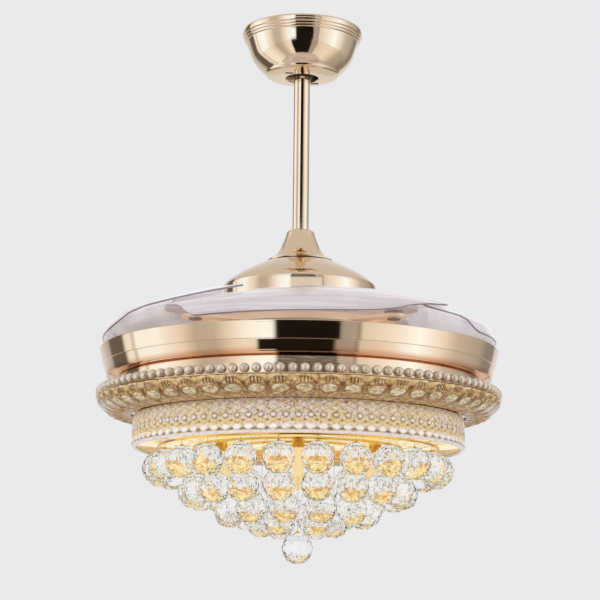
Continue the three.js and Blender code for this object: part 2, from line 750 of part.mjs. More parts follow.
// Blade: a thin crescent sheet that lies like a roof tile round the dome, high inside and low outside
function makeBlade() {
  const across = bladeAcrossShares.length;
  const top = [];
  const bottom = [];
  bladeAlongShares.forEach((share) => {
    const angle = bladeHeel + (bladeTip - bladeHeel) * share;
    const edge = bladeEdge(angle);
    bladeAcrossShares.forEach((place) => {
      const radius = edge.inner + (edge.outer - edge.inner) * place;
      const rise = bladeHeight(radius + slopeStep, angle) - bladeHeight(radius - slopeStep, angle);
      const normal = new THREE.Vector2(-rise, 2 * slopeStep).normalize().multiplyScalar(bladeThickness);
      const height = bladeHeight(radius, angle);
      top.push([radius * Math.cos(angle), radius * Math.sin(angle), height]);
      const under = radius - normal.x;
      bottom.push([under * Math.cos(angle), under * Math.sin(angle), height - normal.y]);
    });
  });
  const half = top.length;
  const faces = [];
  const quad = (a, b, c, d) => faces.push(a, b, c, a, c, d);
  for (let i = 0; i < bladeAlongShares.length - 1; i += 1) {
    for (let j = 0; j < across - 1; j += 1) {
      const a = i * across + j;
      quad(a, a + 1, a + across + 1, a + across);
      quad(half + a, half + a + across, half + a + across + 1, half + a + 1);
    }
    const inside = i * across;
    const outside = inside + across - 1;
    quad(inside, inside + across, half + inside + across, half + inside);
    quad(outside, half + outside, half + outside + across, outside + across);
  }
  const geometry = new THREE.BufferGeometry();
  geometry.setAttribute('position', new THREE.Float32BufferAttribute([...top, ...bottom].flat(), 3));
  geometry.setIndex(faces);
  const holeZ = bandZ + bladePadTop;
  const hole = disc(hubRadius + seat, holeZ - bladeThickness - overrun, holeZ + overrun, roundTiny)
    .translate(pivotRadius, 0, 0);
  return cut(geometry, hole);
}

// Radius of the band's inner wall at a height below its top edge
function bandInnerAt(drop) {
  const wall = bandOutlineShares.slice(1);
  const table = wall.map(([r, z]) => [z * bandHeight, r * bandRadius - bandLipThickness]);
  return lookUp(table, drop);
}

function makeBand() {
  const wall = bandOutlineShares.map(([r, z]) => [r * bandRadius, bandZ - z * bandHeight]);
  const skin = [...wall, [bandLipRadius, bandZ - bandHeight - bandLipThickness]];
  return spunCover(skin.reverse(), bandLipThickness, roundFine);
}

// Cover inside the band: a shallow cone up to a crest, and a well round the motor
function makePanCover() {
  const rimRadius = bandInnerAt(coverRimDrop) - seat - bandLipThickness / 2;
  const wallRadius = supportRadius + coverWell;
  const crestZ = bandZ + coverCrest;
  const footZ = supportZ + seat + sheetMetal;
  const skin = [
    [rimRadius, bandZ - coverRimDrop], [wallRadius + coverCrestWidth, crestZ], [wallRadius, crestZ],
    [wallRadius, footZ], [wallRadius - coverFoot, footZ],
  ];
  return spunCover(skin, sheetMetal, roundFine);
}

function makeSupportPlate() {
  return ring(shaftRadius + seat, supportRadius, supportZ - plateMetal, supportZ, roundHidden);
}

function makeSpacer() {
  return ring(shaftRadius + seat, spacerRadius, panTopZ + seat, supportZ - plateMetal - seat, roundSmall);
}

function makeNut() {
  const nut = new THREE.Shape();
  const corner = nutFlats / 2 / Math.cos(Math.PI / 6);
  const sides = 6;
  nut.setFromPoints(Array.from({ length: sides }, (_, i) => {
    const angle = turn * i / sides;
    return new THREE.Vector2(corner * Math.cos(angle), corner * Math.sin(angle));
  }));
  const hole = new THREE.Path();
  hole.absarc(0, 0, (shaftRadius + seat) / Math.cos(Math.PI / roundTiny), 0, turn, true);
  nut.holes.push(hole);
  const top = panTopZ - panMetal - seat;
  return extrude(nut, top - nutHeight, top);
}

// Light pan: top plate, neck wall, shelf, skirt and the lip that the crystals hang under
function makeLightPan() {
  const skirtInner = panSkirtRadius - panMetal;
  const wallInner = panWallRadius - panMetal;
  const flangeZ = panLipZ + panMetal;
  return revolve([
    [shaftRadius + seat, panTopZ], [panWallRadius, panTopZ], [panWallRadius, panShelfZ],
    [panSkirtRadius, panShelfZ], [panSkirtRadius, flangeZ], [panLipRadius, flangeZ], [panLipRadius, panLipZ],
    [skirtInner, panLipZ], [skirtInner, panShelfZ - panMetal], [wallInner, panShelfZ - panMetal],
    [wallInner, panTopZ - panMetal], [shaftRadius + seat, panTopZ - panMetal],
  ], roundFine);
}

// A ring of equal cells whose outer face rises to a point in each cell: rows of [low, high] heights
function pointedRing(columns, levels, inner, face, relief) {
  const positions = [];
  const faces = [];
  const point = (radius, column, z) => {
    const azimuth = turn * column / columns;
    positions.push(radius * Math.cos(azimuth), radius * Math.sin(azimuth), z);
    return positions.length / 3 - 1;
  };
  const lowZ = levels[0];
  const topZ = levels[levels.length - 1];
  for (let column = 0; column < columns; column += 1) {
    const wall = levels.map((z) => [point(face, column, z), point(face, column + 1, z)]);
    wall.slice(1).forEach(([a, b], i) => {
      const [c, d] = wall[i];
      const apex = point(face + relief, column + 0.5, (levels[i] + levels[i + 1]) / 2);
      faces.push(c, d, apex, d, b, apex, b, a, apex, a, c, apex);
    });
    const low = [point(inner, column, lowZ), point(inner, column + 1, lowZ)];
    const high = [point(inner, column, topZ), point(inner, column + 1, topZ)];
    faces.push(low[0], high[0], high[1], low[0], high[1], low[1]);
    const [bottomLeft, bottomRight] = wall[0];
    const [topLeft, topRight] = wall[wall.length - 1];
    faces.push(low[0], low[1], bottomRight, low[0], bottomRight, bottomLeft);
    faces.push(high[0], topLeft, topRight, high[0], topRight, high[1]);
  }
  const geometry = new THREE.BufferGeometry();
  geometry.setAttribute('position', new THREE.Float32BufferAttribute(positions, 3));
  geometry.setIndex(faces);
  return weld(geometry);
}

// Bead ring: a gold strip with a row of beads on it
function makeBeadRing() {
  const inner = panSkirtRadius + seat;
  const lowZ = panLipZ + panMetal + seat;
  const face = inner + beadBackThickness;
  const relief = panLipRadius - seat - face;
  return pointedRing(beadCount, [lowZ, lowZ + beadBackHeight], inner, face, relief);
}

const barBack = [
  [barTopRadius - barTopThickness, barTopZ],
  [barFootRadius - barFootThickness, barTopZ - barBackDropShare * barHeight],
];

// Carrier: the gold cone behind the crystal bars, with a flange that holds the faceted band
function makeCarrier() {
  const outside = offsetOutline(barBack, -seat);
  const inside = offsetOutline(barBack, -seat - sheetMetal);
  const footRadius = outside[1][0];
  const footZ = latticeHighZ + seat;
  outside[0][1] = barTopZ;
  inside[0][1] = barTopZ;
  return revolve([
    ...outside, [footRadius, footZ], [footRadius - sheetMetal, footZ],
    [footRadius - sheetMetal, inside[1][1]], inside[0],
  ], roundFine);
}

// Ring of rounded crystal bars: a quarter-round moulding whose radius dips between the bars
function makeBarRing() {
  const outer = barOutlineShares.map(([r, z]) => [
    barFootRadius + r * barOverhang, barTopZ - z * barHeight,
  ]);
  const outline = [...outer, barBack[1], barBack[0]];
  const perBar = [0, 0.5];
  const dip = [1, 0];
  const steps = barCount * perBar.length;
  const positions = [];
  for (let i = 0; i < steps; i += 1) {
    const bar = Math.floor(i / perBar.length);
    const part = i % perBar.length;
    const azimuth = turn * (bar + perBar[part]) / barCount;
    outline.forEach(([r, z], j) => {
      const radius = r - (j < outer.length ? dip[part] * barDepth : 0);
      positions.push(radius * Math.cos(azimuth), radius * Math.sin(azimuth), z);
    });
  }
  const faces = [];
  const width = outline.length;
  for (let i = 0; i < steps; i += 1) {
    const next = (i + 1) % steps;
    for (let j = 0; j < width; j += 1) {
      const after = (j + 1) % width;
      const [a, b, c, d] = [i * width + j, next * width + j, next * width + after, i * width + after];
      faces.push(a, c, b, a, d, c);
    }
  }
  const geometry = new THREE.BufferGeometry();
  geometry.setAttribute('position', new THREE.Float32BufferAttribute(positions, 3));
  geometry.setIndex(faces);
  return geometry;
}

// Faceted crystal band: rows of small pyramids
function makeLattice() {
  const rowHeight = latticeHeight / latticeRows;
  const levels = Array.from({ length: latticeRows + 1 }, (_, row) => latticeLowZ + row * rowHeight);
  return pointedRing(latticeColumns, levels, latticeInner, latticeRadius, latticeRelief);
}

function makeMirrorPlate() {
  return disc(mirrorRadius, mirrorLowZ, mirrorLowZ + mirrorThickness, roundFine);
}

// Bulb with its socket, pointing down from the mirror plate
function makeBulb() {
  const top = mirrorLowZ - seat;
  const neck = bulbRadius * bulbNeckShare;
  const end = top - socketHeight - bulbLength;
  const shoulder = top - socketHeight;
  return revolve([
    [0, end], [bulbRadius * bulbTipShare, end + bulbRadius * bulbTipRiseShare],
    [bulbRadius, end + bulbRadius], [bulbRadius, shoulder - bulbRadius], [neck, shoulder],
    [bulbRadius, shoulder], [bulbRadius, top], [0, top],
  ], roundTiny);
}

// Faceted ball on its wire: one turned outline, about the wire's own axis
function ballOnWire(centreZ, topZ) {
  const wireEnd = centreZ + crystalRadius - wireBite;
  const outline = crystalFacetShares.map(([r, z]) => [r * crystalRadius, centreZ + z * crystalRadius]);
  const wire = [[wireRadius, wireEnd], [wireRadius, topZ], [0, topZ]];
  return revolve([[0, centreZ - crystalRadius], ...outline, ...wire], crystalSides);
}

// One tier: a hanging hoop under the mirror plate, with wires down to a circle of balls
function makeTier(count, tier) {
  const radius = tierRadiusShares[tier] * mirrorRadius;
  const centreZ = mirrorLowZ - tierDropShares[tier] * lowestDrop;
  const hoopTop = mirrorLowZ - seat;
  const round = Math.cos(Math.PI / count);
  const half = hangerSection / 2;
  const lowZ = hoopTop - hangerSection;
  const hoop = ring((radius - half) / round, (radius + half) / round, lowZ, hoopTop, count);
  const balls = Array.from({ length: count }, (_, i) => {
    const azimuth = turn * i / count;
    return ballOnWire(centreZ, hoopTop - half)
      .translate(radius * Math.cos(azimuth), radius * Math.sin(azimuth), 0);
  });
  const wiresOnFlats = turn / 2 / count;
  return join(hoop.rotateZ(wiresOnFlats), ...balls).rotateZ(turn * tierTurnShares[tier] / count);
}

function makeDrop() {
  const top = mirrorLowZ - seat;
  return join(
    disc(dropBossRadius, top - hangerSection, top, roundTiny),
    ballOnWire(mirrorLowZ - lowestDrop, top - hangerSection / 2),
  );
}

// Hanging parts at the ceiling
piece('ceiling_bracket', makeBracket(), 'steel');
piece('canopy', makeCanopy(), 'champagne');
const receiver = piece('remote_receiver', box(receiverLength, receiverWidth, -receiverHeight, 0), 'black');
receiver.position.z = -plateMetal - seat;
piece('hanger_ball', makeBall(), 'black');
piece('hanger_pin', crossBar(pinRadius, pinLength, ballZ), 'steel');
piece('downrod', makeDownrod(), 'champagne');
piece('rod_coupler', makeCoupler(), 'steel');
piece('coupler_bolt', crossBar(boltRadius, boltLength, boltZ), 'steel');
piece('neck_cover', makeNeckCover(), 'champagne');

// Motor
piece('motor_shaft', makeShaft(), 'steel');
piece('stator', makeStator(), 'copper');
piece('rotor_upper_shell', makeShell(bandZ + rotorTop, spiderHighZ + seat), 'steel');
piece('rotor_lower_shell', makeShell(bandZ + rotorBottom, spiderLowZ - seat), 'steel');
piece('magnet_ring', makeMagnetRing(), 'magnet');
piece('upper_bearing', makeBearing(bandZ + rotorTop - rotorWall - seat - bearingWidth), 'steel');
piece('lower_bearing', makeBearing(bandZ + rotorBottom + rotorWall + seat), 'steel');
piece('spider', makeSpider(), 'champagne');
piece('motor_dome', makeDome(), 'champagne');
piece('gear_ring', makeGearRing(), 'nylon');

// Blade sets
pivotAzimuths.forEach((azimuth, i) => {
  const arm = new THREE.Group();
  arm.rotation.z = azimuth;
  fan.add(arm);
  const pivot = new THREE.Group();
  pivot.position.x = pivotRadius;
  arm.add(pivot);
  const springLow = spiderHighZ + seat;
  const springHigh = gearLowZ - seat;
  piece(`pivot_post_${i + 1}`, makePost(), 'steel', pivot);
  const spring = ring(springRadius - springWire, springRadius, springLow, springHigh, roundTiny);
  piece(`return_spring_${i + 1}`, spring, 'steel', pivot);
  piece(`blade_arm_${i + 1}`, makeBladeArm(), 'nylon', pivot);
  piece(`blade_${i + 1}`, makeBlade(), 'clear', arm);
});

// Band, pan and lamp
piece('fan_band', makeBand(), 'rose');
piece('pan_cover', makePanCover(), 'rose');
piece('support_plate', makeSupportPlate(), 'steel');
piece('spacer_sleeve', makeSpacer(), 'steel');
piece('shaft_nut', makeNut(), 'steel');
piece('light_pan', makeLightPan(), 'rose');
const driver = piece('led_driver', box(driverWidth, driverLength, 0, driverHeight), 'nylon');
driver.position.set(driverOffset, 0, panTopZ + seat);
piece('bead_ring', makeBeadRing(), 'pearl');
piece('crystal_carrier', makeCarrier(), 'rose');
piece('crystal_bar_ring', makeBarRing(), 'amber');
piece('crystal_band', makeLattice(), 'crystal');
piece('mirror_plate', makeMirrorPlate(), 'mirror');
for (let i = 0; i < bulbCount; i += 1) {
  const azimuth = turn * (i + 0.5) / bulbCount;
  const bulb = piece(`led_bulb_${i + 1}`, makeBulb(), 'glow');
  const circle = bulbCircleShare * mirrorRadius;
  bulb.position.set(circle * Math.cos(azimuth), circle * Math.sin(azimuth), 0);
}
tierCounts.forEach((count, i) => piece(`crystal_tier_${i + 1}`, makeTier(count, i), 'crystal'));
piece('crystal_drop', makeDrop(), 'crystal');

export default fan;
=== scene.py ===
"""Looks of a ceiling fan with clear folding blades, a gold drum and a crystal lamp below it."""
import json
import math
import random

import bmesh
import bpy
from mathutils import Matrix, Vector


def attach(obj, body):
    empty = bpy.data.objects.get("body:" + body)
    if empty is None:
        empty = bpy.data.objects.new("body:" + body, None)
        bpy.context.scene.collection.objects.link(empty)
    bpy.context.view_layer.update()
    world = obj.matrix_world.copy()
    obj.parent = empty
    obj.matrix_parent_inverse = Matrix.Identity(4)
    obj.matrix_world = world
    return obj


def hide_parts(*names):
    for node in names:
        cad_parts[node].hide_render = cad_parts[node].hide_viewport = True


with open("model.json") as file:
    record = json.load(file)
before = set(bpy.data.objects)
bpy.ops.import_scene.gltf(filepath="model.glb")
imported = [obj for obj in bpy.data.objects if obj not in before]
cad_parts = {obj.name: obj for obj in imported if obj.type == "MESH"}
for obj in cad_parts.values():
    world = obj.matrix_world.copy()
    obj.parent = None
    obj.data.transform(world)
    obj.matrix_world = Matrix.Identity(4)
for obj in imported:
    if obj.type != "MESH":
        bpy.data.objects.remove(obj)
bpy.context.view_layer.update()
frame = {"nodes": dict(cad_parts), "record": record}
random.seed(7)

# Lengths are in mm until a mesh is made; heights count upwards from the ceiling
MM = 0.001
BAND = -426.0          # top edge of the gold band
BAR_TOP = BAND - 62.8  # top edge of the pressed glass bars
HOOP_TOP = BAND - 84.2  # top edge of the crystal hoop below them
PLATE = BAND - 121.0   # underside of the mirror plate
BEADS, BARS, COLUMNS = 112, 55, 90
TAU = math.tau
FIXED = "mounting"
HANGING = "hanging_set"
ROTOR = "rotor"


# Colours and nodes


def srgb(r, g, b):
    """Colour as it shows on a screen, 0 to 255, to linear."""
    def one(v):
        v /= 255
        return v / 12.92 if v <= 0.04045 else ((v + 0.055) / 1.055) ** 2.4
    return (one(r), one(g), one(b), 1.0)


def scaled(colour, share):
    """The colour made darker or lighter, up to white."""
    return tuple(min(1.0, c * share) for c in colour[:3]) + (1.0,)


class Nodes:
    """Adds nodes to a tree. Most methods return the new node's output."""

    def __init__(self, tree):
        self.tree = tree
        self.coord = self.new("TexCoord").outputs

    def new(self, kind):
        return self.tree.nodes.new("ShaderNode" + kind)

    def fill(self, socket, value):
        """Links another node's output to the socket, or sets it to a number or colour."""
        if isinstance(value, bpy.types.NodeSocket):
            self.tree.links.new(value, socket)
        else:
            socket.default_value = value

    def noise(self, scale, detail=3.0, stretch=None):
        node = self.new("TexNoise")
        node.inputs["Scale"].default_value = scale
        node.inputs["Detail"].default_value = detail
        node.inputs["Roughness"].default_value = 0.55
        source = self.coord["Object"]
        if stretch:
            mapping = self.new("Mapping")
            mapping.inputs["Scale"].default_value = stretch
            self.fill(mapping.inputs["Vector"], source)
            source = mapping.outputs["Vector"]
        self.fill(node.inputs["Vector"], source)
        return node.outputs["Fac"]

    def ramp(self, source, stops):
        """Colour ramp; stops are (place, colour)."""
        node = self.new("ValToRGB")
        ends = node.color_ramp.elements
        while len(ends) < len(stops):
            ends.new(0.5)
        for end, (place, colour) in zip(ends, stops):
            end.position = place
            end.color = colour
        self.fill(node.inputs["Fac"], source)
        return node.outputs["Color"]

    def map_range(self, source, kind, **ends):
        node = self.new("MapRange")
        node.interpolation_type = kind
        for name, value in ends.items():
            node.inputs[name.replace("_", " ")].default_value = value
        self.fill(node.inputs["Value"], source)
        return node.outputs["Result"]

    def spread(self, source, low, high):
        """The source's 0 to 1 as low to high."""
        return self.map_range(source, "LINEAR", To_Min=low, To_Max=high)

    def step(self, source, low, high):
        """0 below low, 1 above high, smooth between; the other way round where low is the larger."""
        return self.map_range(source, "SMOOTHSTEP", From_Min=low, From_Max=high)

    def between(self, source, rise, full, fade, end):
        """1 from full to fade, 0 before rise and after end."""
        return self.times(self.step(source, rise, full), self.step(source, end, fade))

    def math(self, kind, *values):
        node = self.new("Math")
        node.operation = kind
        for socket, value in zip(node.inputs, values):
            self.fill(socket, value)
        return node.outputs[0]

    def times(self, product, *others):
        for other in others:
            product = self.math("MULTIPLY", product, other)
        return product

    def mix(self, share, a, b):
        node = self.new("Mix")
        node.data_type = "RGBA"
        for name, value in (("Factor", share), ("A", a), ("B", b)):
            self.fill(node.inputs[name], value)
        return node.outputs["Result"]

    def paint(self, under, over, *shares):
        """Lays a colour over another, as thick as the product of the shares."""
        return self.mix(self.times(*shares), under, over)

    def split(self, kind):
        """X, Y and Z of a texture coordinate."""
        node = self.new("SeparateXYZ")
        self.fill(node.inputs[0], self.coord[kind])
        return node.outputs


class Material(Nodes):
    """A node material on one Principled shader."""

    def __init__(self, name, **values):
        self.made = bpy.data.materials.new(name)
        self.made.use_nodes = True
        super().__init__(self.made.node_tree)
        self.shader = self.tree.nodes["Principled BSDF"]
        self.set(**values)

    def set(self, **values):
        """Fills the shader's sockets, named with _ for a space."""
        for name, value in values.items():
            self.fill(self.shader.inputs[name.replace("_", " ")], value)

    def bump(self, source, distance, strength):
        node = self.new("Bump")
        node.inputs["Distance"].default_value = distance
        node.inputs["Strength"].default_value = strength
        self.fill(node.inputs["Height"], source)
        self.set(Normal=node.outputs["Normal"])

    def round_the_axis(self, count, top, tall):
        """Place round Z in count parts, 0 in a part's middle to 1 at its edges, and 0 to 1 down from top."""
        part = self.split("Object")
        angle = self.math("ARCTAN2", part["Y"], part["X"])
        place = self.math("ADD", self.times(angle, count / TAU), count * 2.0)
        across = self.math("ABSOLUTE", self.math("SUBTRACT", self.math("FRACT", place), 0.5))
        down = self.math("DIVIDE", self.math("SUBTRACT", top * MM, part["Z"]), tall * MM)
        return place, self.times(across, 2.0), down

    def stud(self, across, down, middle, wide, tall):
        """Distance from the middle of an oval that repeats in every part; 1 is its edge."""
        x = self.math("DIVIDE", across, wide)
        y = self.math("DIVIDE", self.math("SUBTRACT", down, middle), tall)
        return self.math("SQRT", self.math("ADD", self.times(x, x), self.times(y, y)))


# Materials


def gold(name, colour, deep, rough, curl_shade=None, **more):
    """Polished plating with a slow drift of tint, fine haze and faint polishing marks round the axis.

    Given a colour for the curl, the plating turns to it towards the curled lower edge of the band: painted
    shade.
    """
    m = Material(name, Metallic=1.0, **more)
    plating = m.ramp(m.noise(6.0, 4.0), [(0.3, deep), (0.7, colour)])
    if curl_shade:
        # Painted shade: the plating turns to the given colour towards the band's curled lower edge
        edge = m.step(m.split("Object")["Z"], (BAND - 28.5) * MM, (BAND - 35.5) * MM)
        plating = m.paint(plating, curl_shade, edge, 0.85)
    m.set(Base_Color=plating, Roughness=m.spread(m.noise(90.0), rough * 0.7, rough * 1.5))
    m.bump(m.noise(60.0, 2.0, stretch=(1, 1, 14)), 0.0002, 0.06)
    return m.made


def steel(name, colour, rough, grain=(1, 1, 9)):
    m = Material(name, Metallic=1.0)
    m.set(Base_Color=m.ramp(m.noise(45.0, 5.0), [(0.25, scaled(colour, 0.75)), (0.75, colour)]),
          Roughness=m.spread(m.noise(160.0, 4.0, stretch=grain), rough * 0.7, rough * 1.4))
    m.bump(m.noise(300.0, stretch=grain), 0.0002, 0.25)
    return m.made


def plastic(name, colour, rough, fleck=0.88, **more):
    m = Material(name, **more)
    m.set(Base_Color=m.ramp(m.noise(30.0, 4.0), [(0.3, scaled(colour, fleck)), (0.7, colour)]),
          Roughness=m.spread(m.noise(220.0), rough * 0.8, rough * 1.25))
    m.bump(m.noise(900.0, 2.0), 0.0001, 0.3)
    return m.made


def pearl(name, colour, deep):
    """Pearl plating: soft shine with a drift from cream to a lilac brown."""
    m = Material(name, Metallic=0.62)
    m.set(Base_Color=m.ramp(m.noise(160.0), [(0.3, deep), (0.65, colour)]),
          Roughness=m.spread(m.noise(90.0), 0.24, 0.34))
    return m.made


def crystal(name, colour, **more):
    """Clear cut glass, a little uneven."""
    m = Material(name, IOR=1.5, Transmission_Weight=1.0, **more)
    m.set(Base_Color=m.ramp(m.noise(12.0), [(0.3, colour), (0.7, scaled(colour, 1.04))]),
          Roughness=m.spread(m.noise(40.0), 0.0, 0.02))
    m.bump(m.noise(25.0, 2.0), 0.0004, 0.12)
    return m.made


def hazy(name, colour, deep, low, high, edge, shine):
    """Clear sheet with a milky, streaky veil, denser where it is seen edge on; its colour is mostly a painted
    glow of shine strength, over a base half as bright.
    """
    m = Material(name, Roughness=0.12, IOR=1.49, Emission_Strength=shine)
    streaks = m.noise(6.0, 5.0, stretch=(1, 1, 22))
    facing = m.new("LayerWeight")
    facing.inputs["Blend"].default_value = 0.35
    veil = m.spread(m.noise(7.0, stretch=(1, 1, 6)), low, high)
    veil = m.math("ADD", veil, m.times(facing.outputs["Facing"], edge))
    m.set(Base_Color=m.ramp(streaks, [(0.34, scaled(deep, 0.5)), (0.6, scaled(colour, 0.5))]),
          Emission_Color=m.ramp(streaks, [(0.34, deep), (0.6, colour)]),
          Alpha=m.math("MINIMUM", veil, 1.0))
    m.bump(m.noise(14.0, 2.0), 0.0003, 0.15)
    return m.made


def lamp(name, colour, strength):
    m = Material(name, Roughness=0.35, Emission_Color=colour, Emission_Strength=strength)
    m.set(Base_Color=m.ramp(m.noise(60.0), [(0.3, scaled(colour, 0.94)), (0.7, colour)]))
    return m.made


def bar_glass():
    """Warm pressed glass: every bar a round-headed tooth over a pale oval cut, with painted shade in the gaps
    between bars, round the heads, in dark fluting and along the ovals, and a painted highlight on each oval.
    """
    m = Material("amber_glass", IOR=1.48, Transmission_Weight=0.2)
    place, across, down = m.round_the_axis(BARS, BAR_TOP, 20.8)
    one_bar = m.new("TexWhiteNoise")
    one_bar.noise_dimensions = "1D"
    m.fill(one_bar.inputs["W"], m.math("FLOOR", place))
    own = one_bar.outputs["Value"]
    uneven = m.times(m.math("SUBTRACT", m.noise(210.0, 4.0), 0.5), 0.55)
    body = m.ramp(m.noise(150.0, 5.0, stretch=(1, 1, 2.0)), [
        (0.30, srgb(136, 92, 46)), (0.44, srgb(190, 144, 84)),
        (0.56, srgb(222, 182, 122)), (0.70, srgb(250, 228, 176))])
    # Painted shade in the gaps between the bars: pale near the top, darkest brown below that, a little
    # lighter further down
    gap_shading = m.ramp(down, [
        (0.05, srgb(240, 212, 156)), (0.28, srgb(214, 176, 118)), (0.42, srgb(112, 62, 30)),
        (0.62, srgb(138, 84, 46)), (0.85, srgb(166, 112, 68)), (1.0, srgb(196, 146, 98))])
    gap_shading = m.mix(m.step(m.noise(170.0, 4.0), 0.42, 0.62), gap_shading, body)
    head = m.math("ADD", m.stud(across, down, 0.66, 0.94, 0.56), uneven)
    inside = m.math("MAXIMUM", m.step(head, 1.0, 0.86), m.times(m.step(down, 0.6, 0.7), 0.45))
    look = m.mix(inside, gap_shading, body)
    # Painted shade round the edge of each bar's head
    look = m.paint(look, srgb(112, 74, 42), m.between(head, 0.8, 0.92, 0.98, 1.12), 0.5)
    # Painted shade: dark vertical fluting in the upper middle of each bar, darker on some bars than on others
    flute_shade = m.step(m.math("FRACT", m.times(place, 7.0)), 0.66, 0.44)
    look = m.paint(look, srgb(62, 40, 24), flute_shade, m.step(across, 0.58, 0.42),
                   m.between(down, 0.1, 0.17, 0.39, 0.47), m.spread(own, 0.55, 0.95))
    oval = m.math("ADD", m.stud(across, down, 0.70, 0.82, 0.22), uneven)
    # Painted shade along the edge of each oval facet
    look = m.paint(look, srgb(104, 66, 36), m.between(oval, 0.78, 0.9, 1.0, 1.2), 0.6)
    # Painted highlight: each oval facet is pale cream to near white, dimmer on some bars
    face = m.ramp(m.noise(190.0, 5.0, stretch=(1, 1, 2.2)), [
        (0.34, srgb(168, 132, 84)), (0.46, srgb(216, 190, 142)),
        (0.56, srgb(236, 220, 184)), (0.66, srgb(252, 246, 226))])
    face = m.paint(face, srgb(150, 116, 76), m.step(own, 0.62, 1.0), 0.55)
    m.set(Base_Color=m.mix(m.step(oval, 0.92, 0.7), look, face),
          Roughness=m.spread(m.noise(200.0), 0.04, 0.14))
    m.bump(m.noise(110.0), 0.0006, 0.35)
    return m.made


def hoop_glass():
    """Cream crystal in rows, with a faint painted glow as if lit from inside: cut diamonds, ringed studs, a
    gold strip, white pearls, a lilac foot.
    """
    m = Material("band_crystal", IOR=1.5, Transmission_Weight=0.25, Emission_Strength=0.08)
    place, across, down = m.round_the_axis(COLUMNS, HOOP_TOP, 39.8)
    look = m.ramp(m.noise(330.0, 4.0), [
        (0.32, srgb(146, 108, 66)), (0.41, srgb(216, 188, 138)), (0.50, srgb(240, 226, 194)),
        (0.58, srgb(226, 214, 226)), (0.66, srgb(255, 252, 244))])
    look = m.paint(look, srgb(240, 216, 150), m.step(m.noise(24.0), 0.4, 0.62), 0.3)
    for slant in (5.4, -5.4):
        line = m.math("FRACT", m.math("ADD", place, m.times(down, slant)))
        line = m.math("ABSOLUTE", m.math("SUBTRACT", line, 0.5))
        look = m.paint(look, srgb(142, 112, 76), m.step(line, 0.09, 0.03), m.step(down, 0.42, 0.36), 0.5)
    look = m.paint(look, srgb(232, 196, 104), m.between(down, 0.57, 0.6, 0.67, 0.7), 0.55)
    stud = m.stud(across, down, 0.485, 0.62, 0.085)
    look = m.paint(look, srgb(110, 88, 84), m.between(stud, 0.55, 0.75, 0.95, 1.15), 0.6)
    look = m.paint(look, srgb(244, 236, 246), m.step(stud, 0.5, 0.3), 0.6)
    dots = m.between(down, 0.59, 0.61, 0.65, 0.68)
    look = m.paint(look, srgb(92, 66, 34), m.step(across, 0.72, 0.9), dots, 0.7)
    bead = m.stud(across, down, 0.815, 0.78, 0.09)
    look = m.paint(look, srgb(252, 246, 244), m.step(bead, 1.0, 0.6), 0.75)
    shade = m.between(down, 0.8, 0.86, 0.9, 0.93)
    look = m.paint(look, srgb(96, 78, 66), m.step(bead, 0.92, 1.1), shade, 0.7)
    look = m.paint(look, srgb(232, 224, 238), m.step(down, 0.93, 0.95), 0.7)
    # The colour is also a faint painted glow; the crystal is no lamp
    m.set(Base_Color=look, Emission_Color=look, Roughness=m.spread(m.noise(260.0), 0.05, 0.16))
    return m.made


CHAMPAGNE = gold("champagne_gold", srgb(246, 223, 194), srgb(239, 212, 180), 0.055)
ROSE = gold("rose_gold", srgb(248, 221, 190), srgb(243, 212, 178), 0.05)
# The band's gold turns orange brown at its curled lower edge: painted shade
BAND_GOLD = gold("band_gold", srgb(248, 221, 190), srgb(243, 212, 178), 0.05, curl_shade=srgb(220, 160, 118))
YELLOW = gold("yellow_gold", srgb(240, 205, 120), srgb(226, 186, 98), 0.09)
# The gold mirror has a painted warm glow, as if lit by the bulbs; it is no lamp
MIRROR_PAINTED_GLOW = gold("gold_mirror", srgb(250, 232, 176), srgb(244, 220, 152), 0.05,
              Emission_Color=srgb(255, 222, 150), Emission_Strength=0.24)
# The satin gold has a painted glow that lightens it in the shade under the blades; it is no lamp
SATIN_PAINTED_GLOW = gold("satin_champagne", srgb(240, 222, 198), srgb(228, 206, 178), 0.3,
             Emission_Color=srgb(240, 212, 184), Emission_Strength=0.28)
STEEL = steel("zinc_steel", srgb(186, 188, 190), 0.32)
COPPER = steel("copper_windings", srgb(176, 96, 52), 0.4, (1, 1, 30))
MAGNET = steel("ferrite", srgb(70, 72, 76), 0.6)
BLACK = plastic("black_rubber", srgb(24, 24, 26), 0.45)
# Nylon with a faint painted glow that lightens it in shade; it is no lamp
NYLON_PAINTED_GLOW = plastic("nylon", srgb(226, 214, 218), 0.35, 0.95,
                Emission_Color=srgb(222, 208, 212), Emission_Strength=0.16)
PEARL = pearl("pearl_bead", srgb(238, 224, 206), srgb(204, 182, 160))
# The blades' colour is mostly a painted glow, strong on the faces and faint on the edges; the acrylic is no
# lamp
ACRYLIC_PAINTED_GLOW = hazy("clear_acrylic", srgb(230, 225, 230), srgb(204, 191, 192), 0.6, 0.8, 0.12, 0.4)
ACRYLIC_EDGE_PAINTED_GLOW = hazy("acrylic_edge", srgb(168, 160, 172), srgb(140, 132, 144), 0.8, 0.95, 0.1, 0.1)
# The cut crystal has a faint painted glow that lightens it; it is no lamp
CRYSTAL_PAINTED_GLOW = crystal("crystal", srgb(254, 253, 250), Emission_Color=srgb(238, 242, 232), Emission_Strength=0.017)
AMBER = bar_glass()
HOOP_GLASS = hoop_glass()
GLOW = lamp("lamp_cover", srgb(248, 222, 168), 0.42)

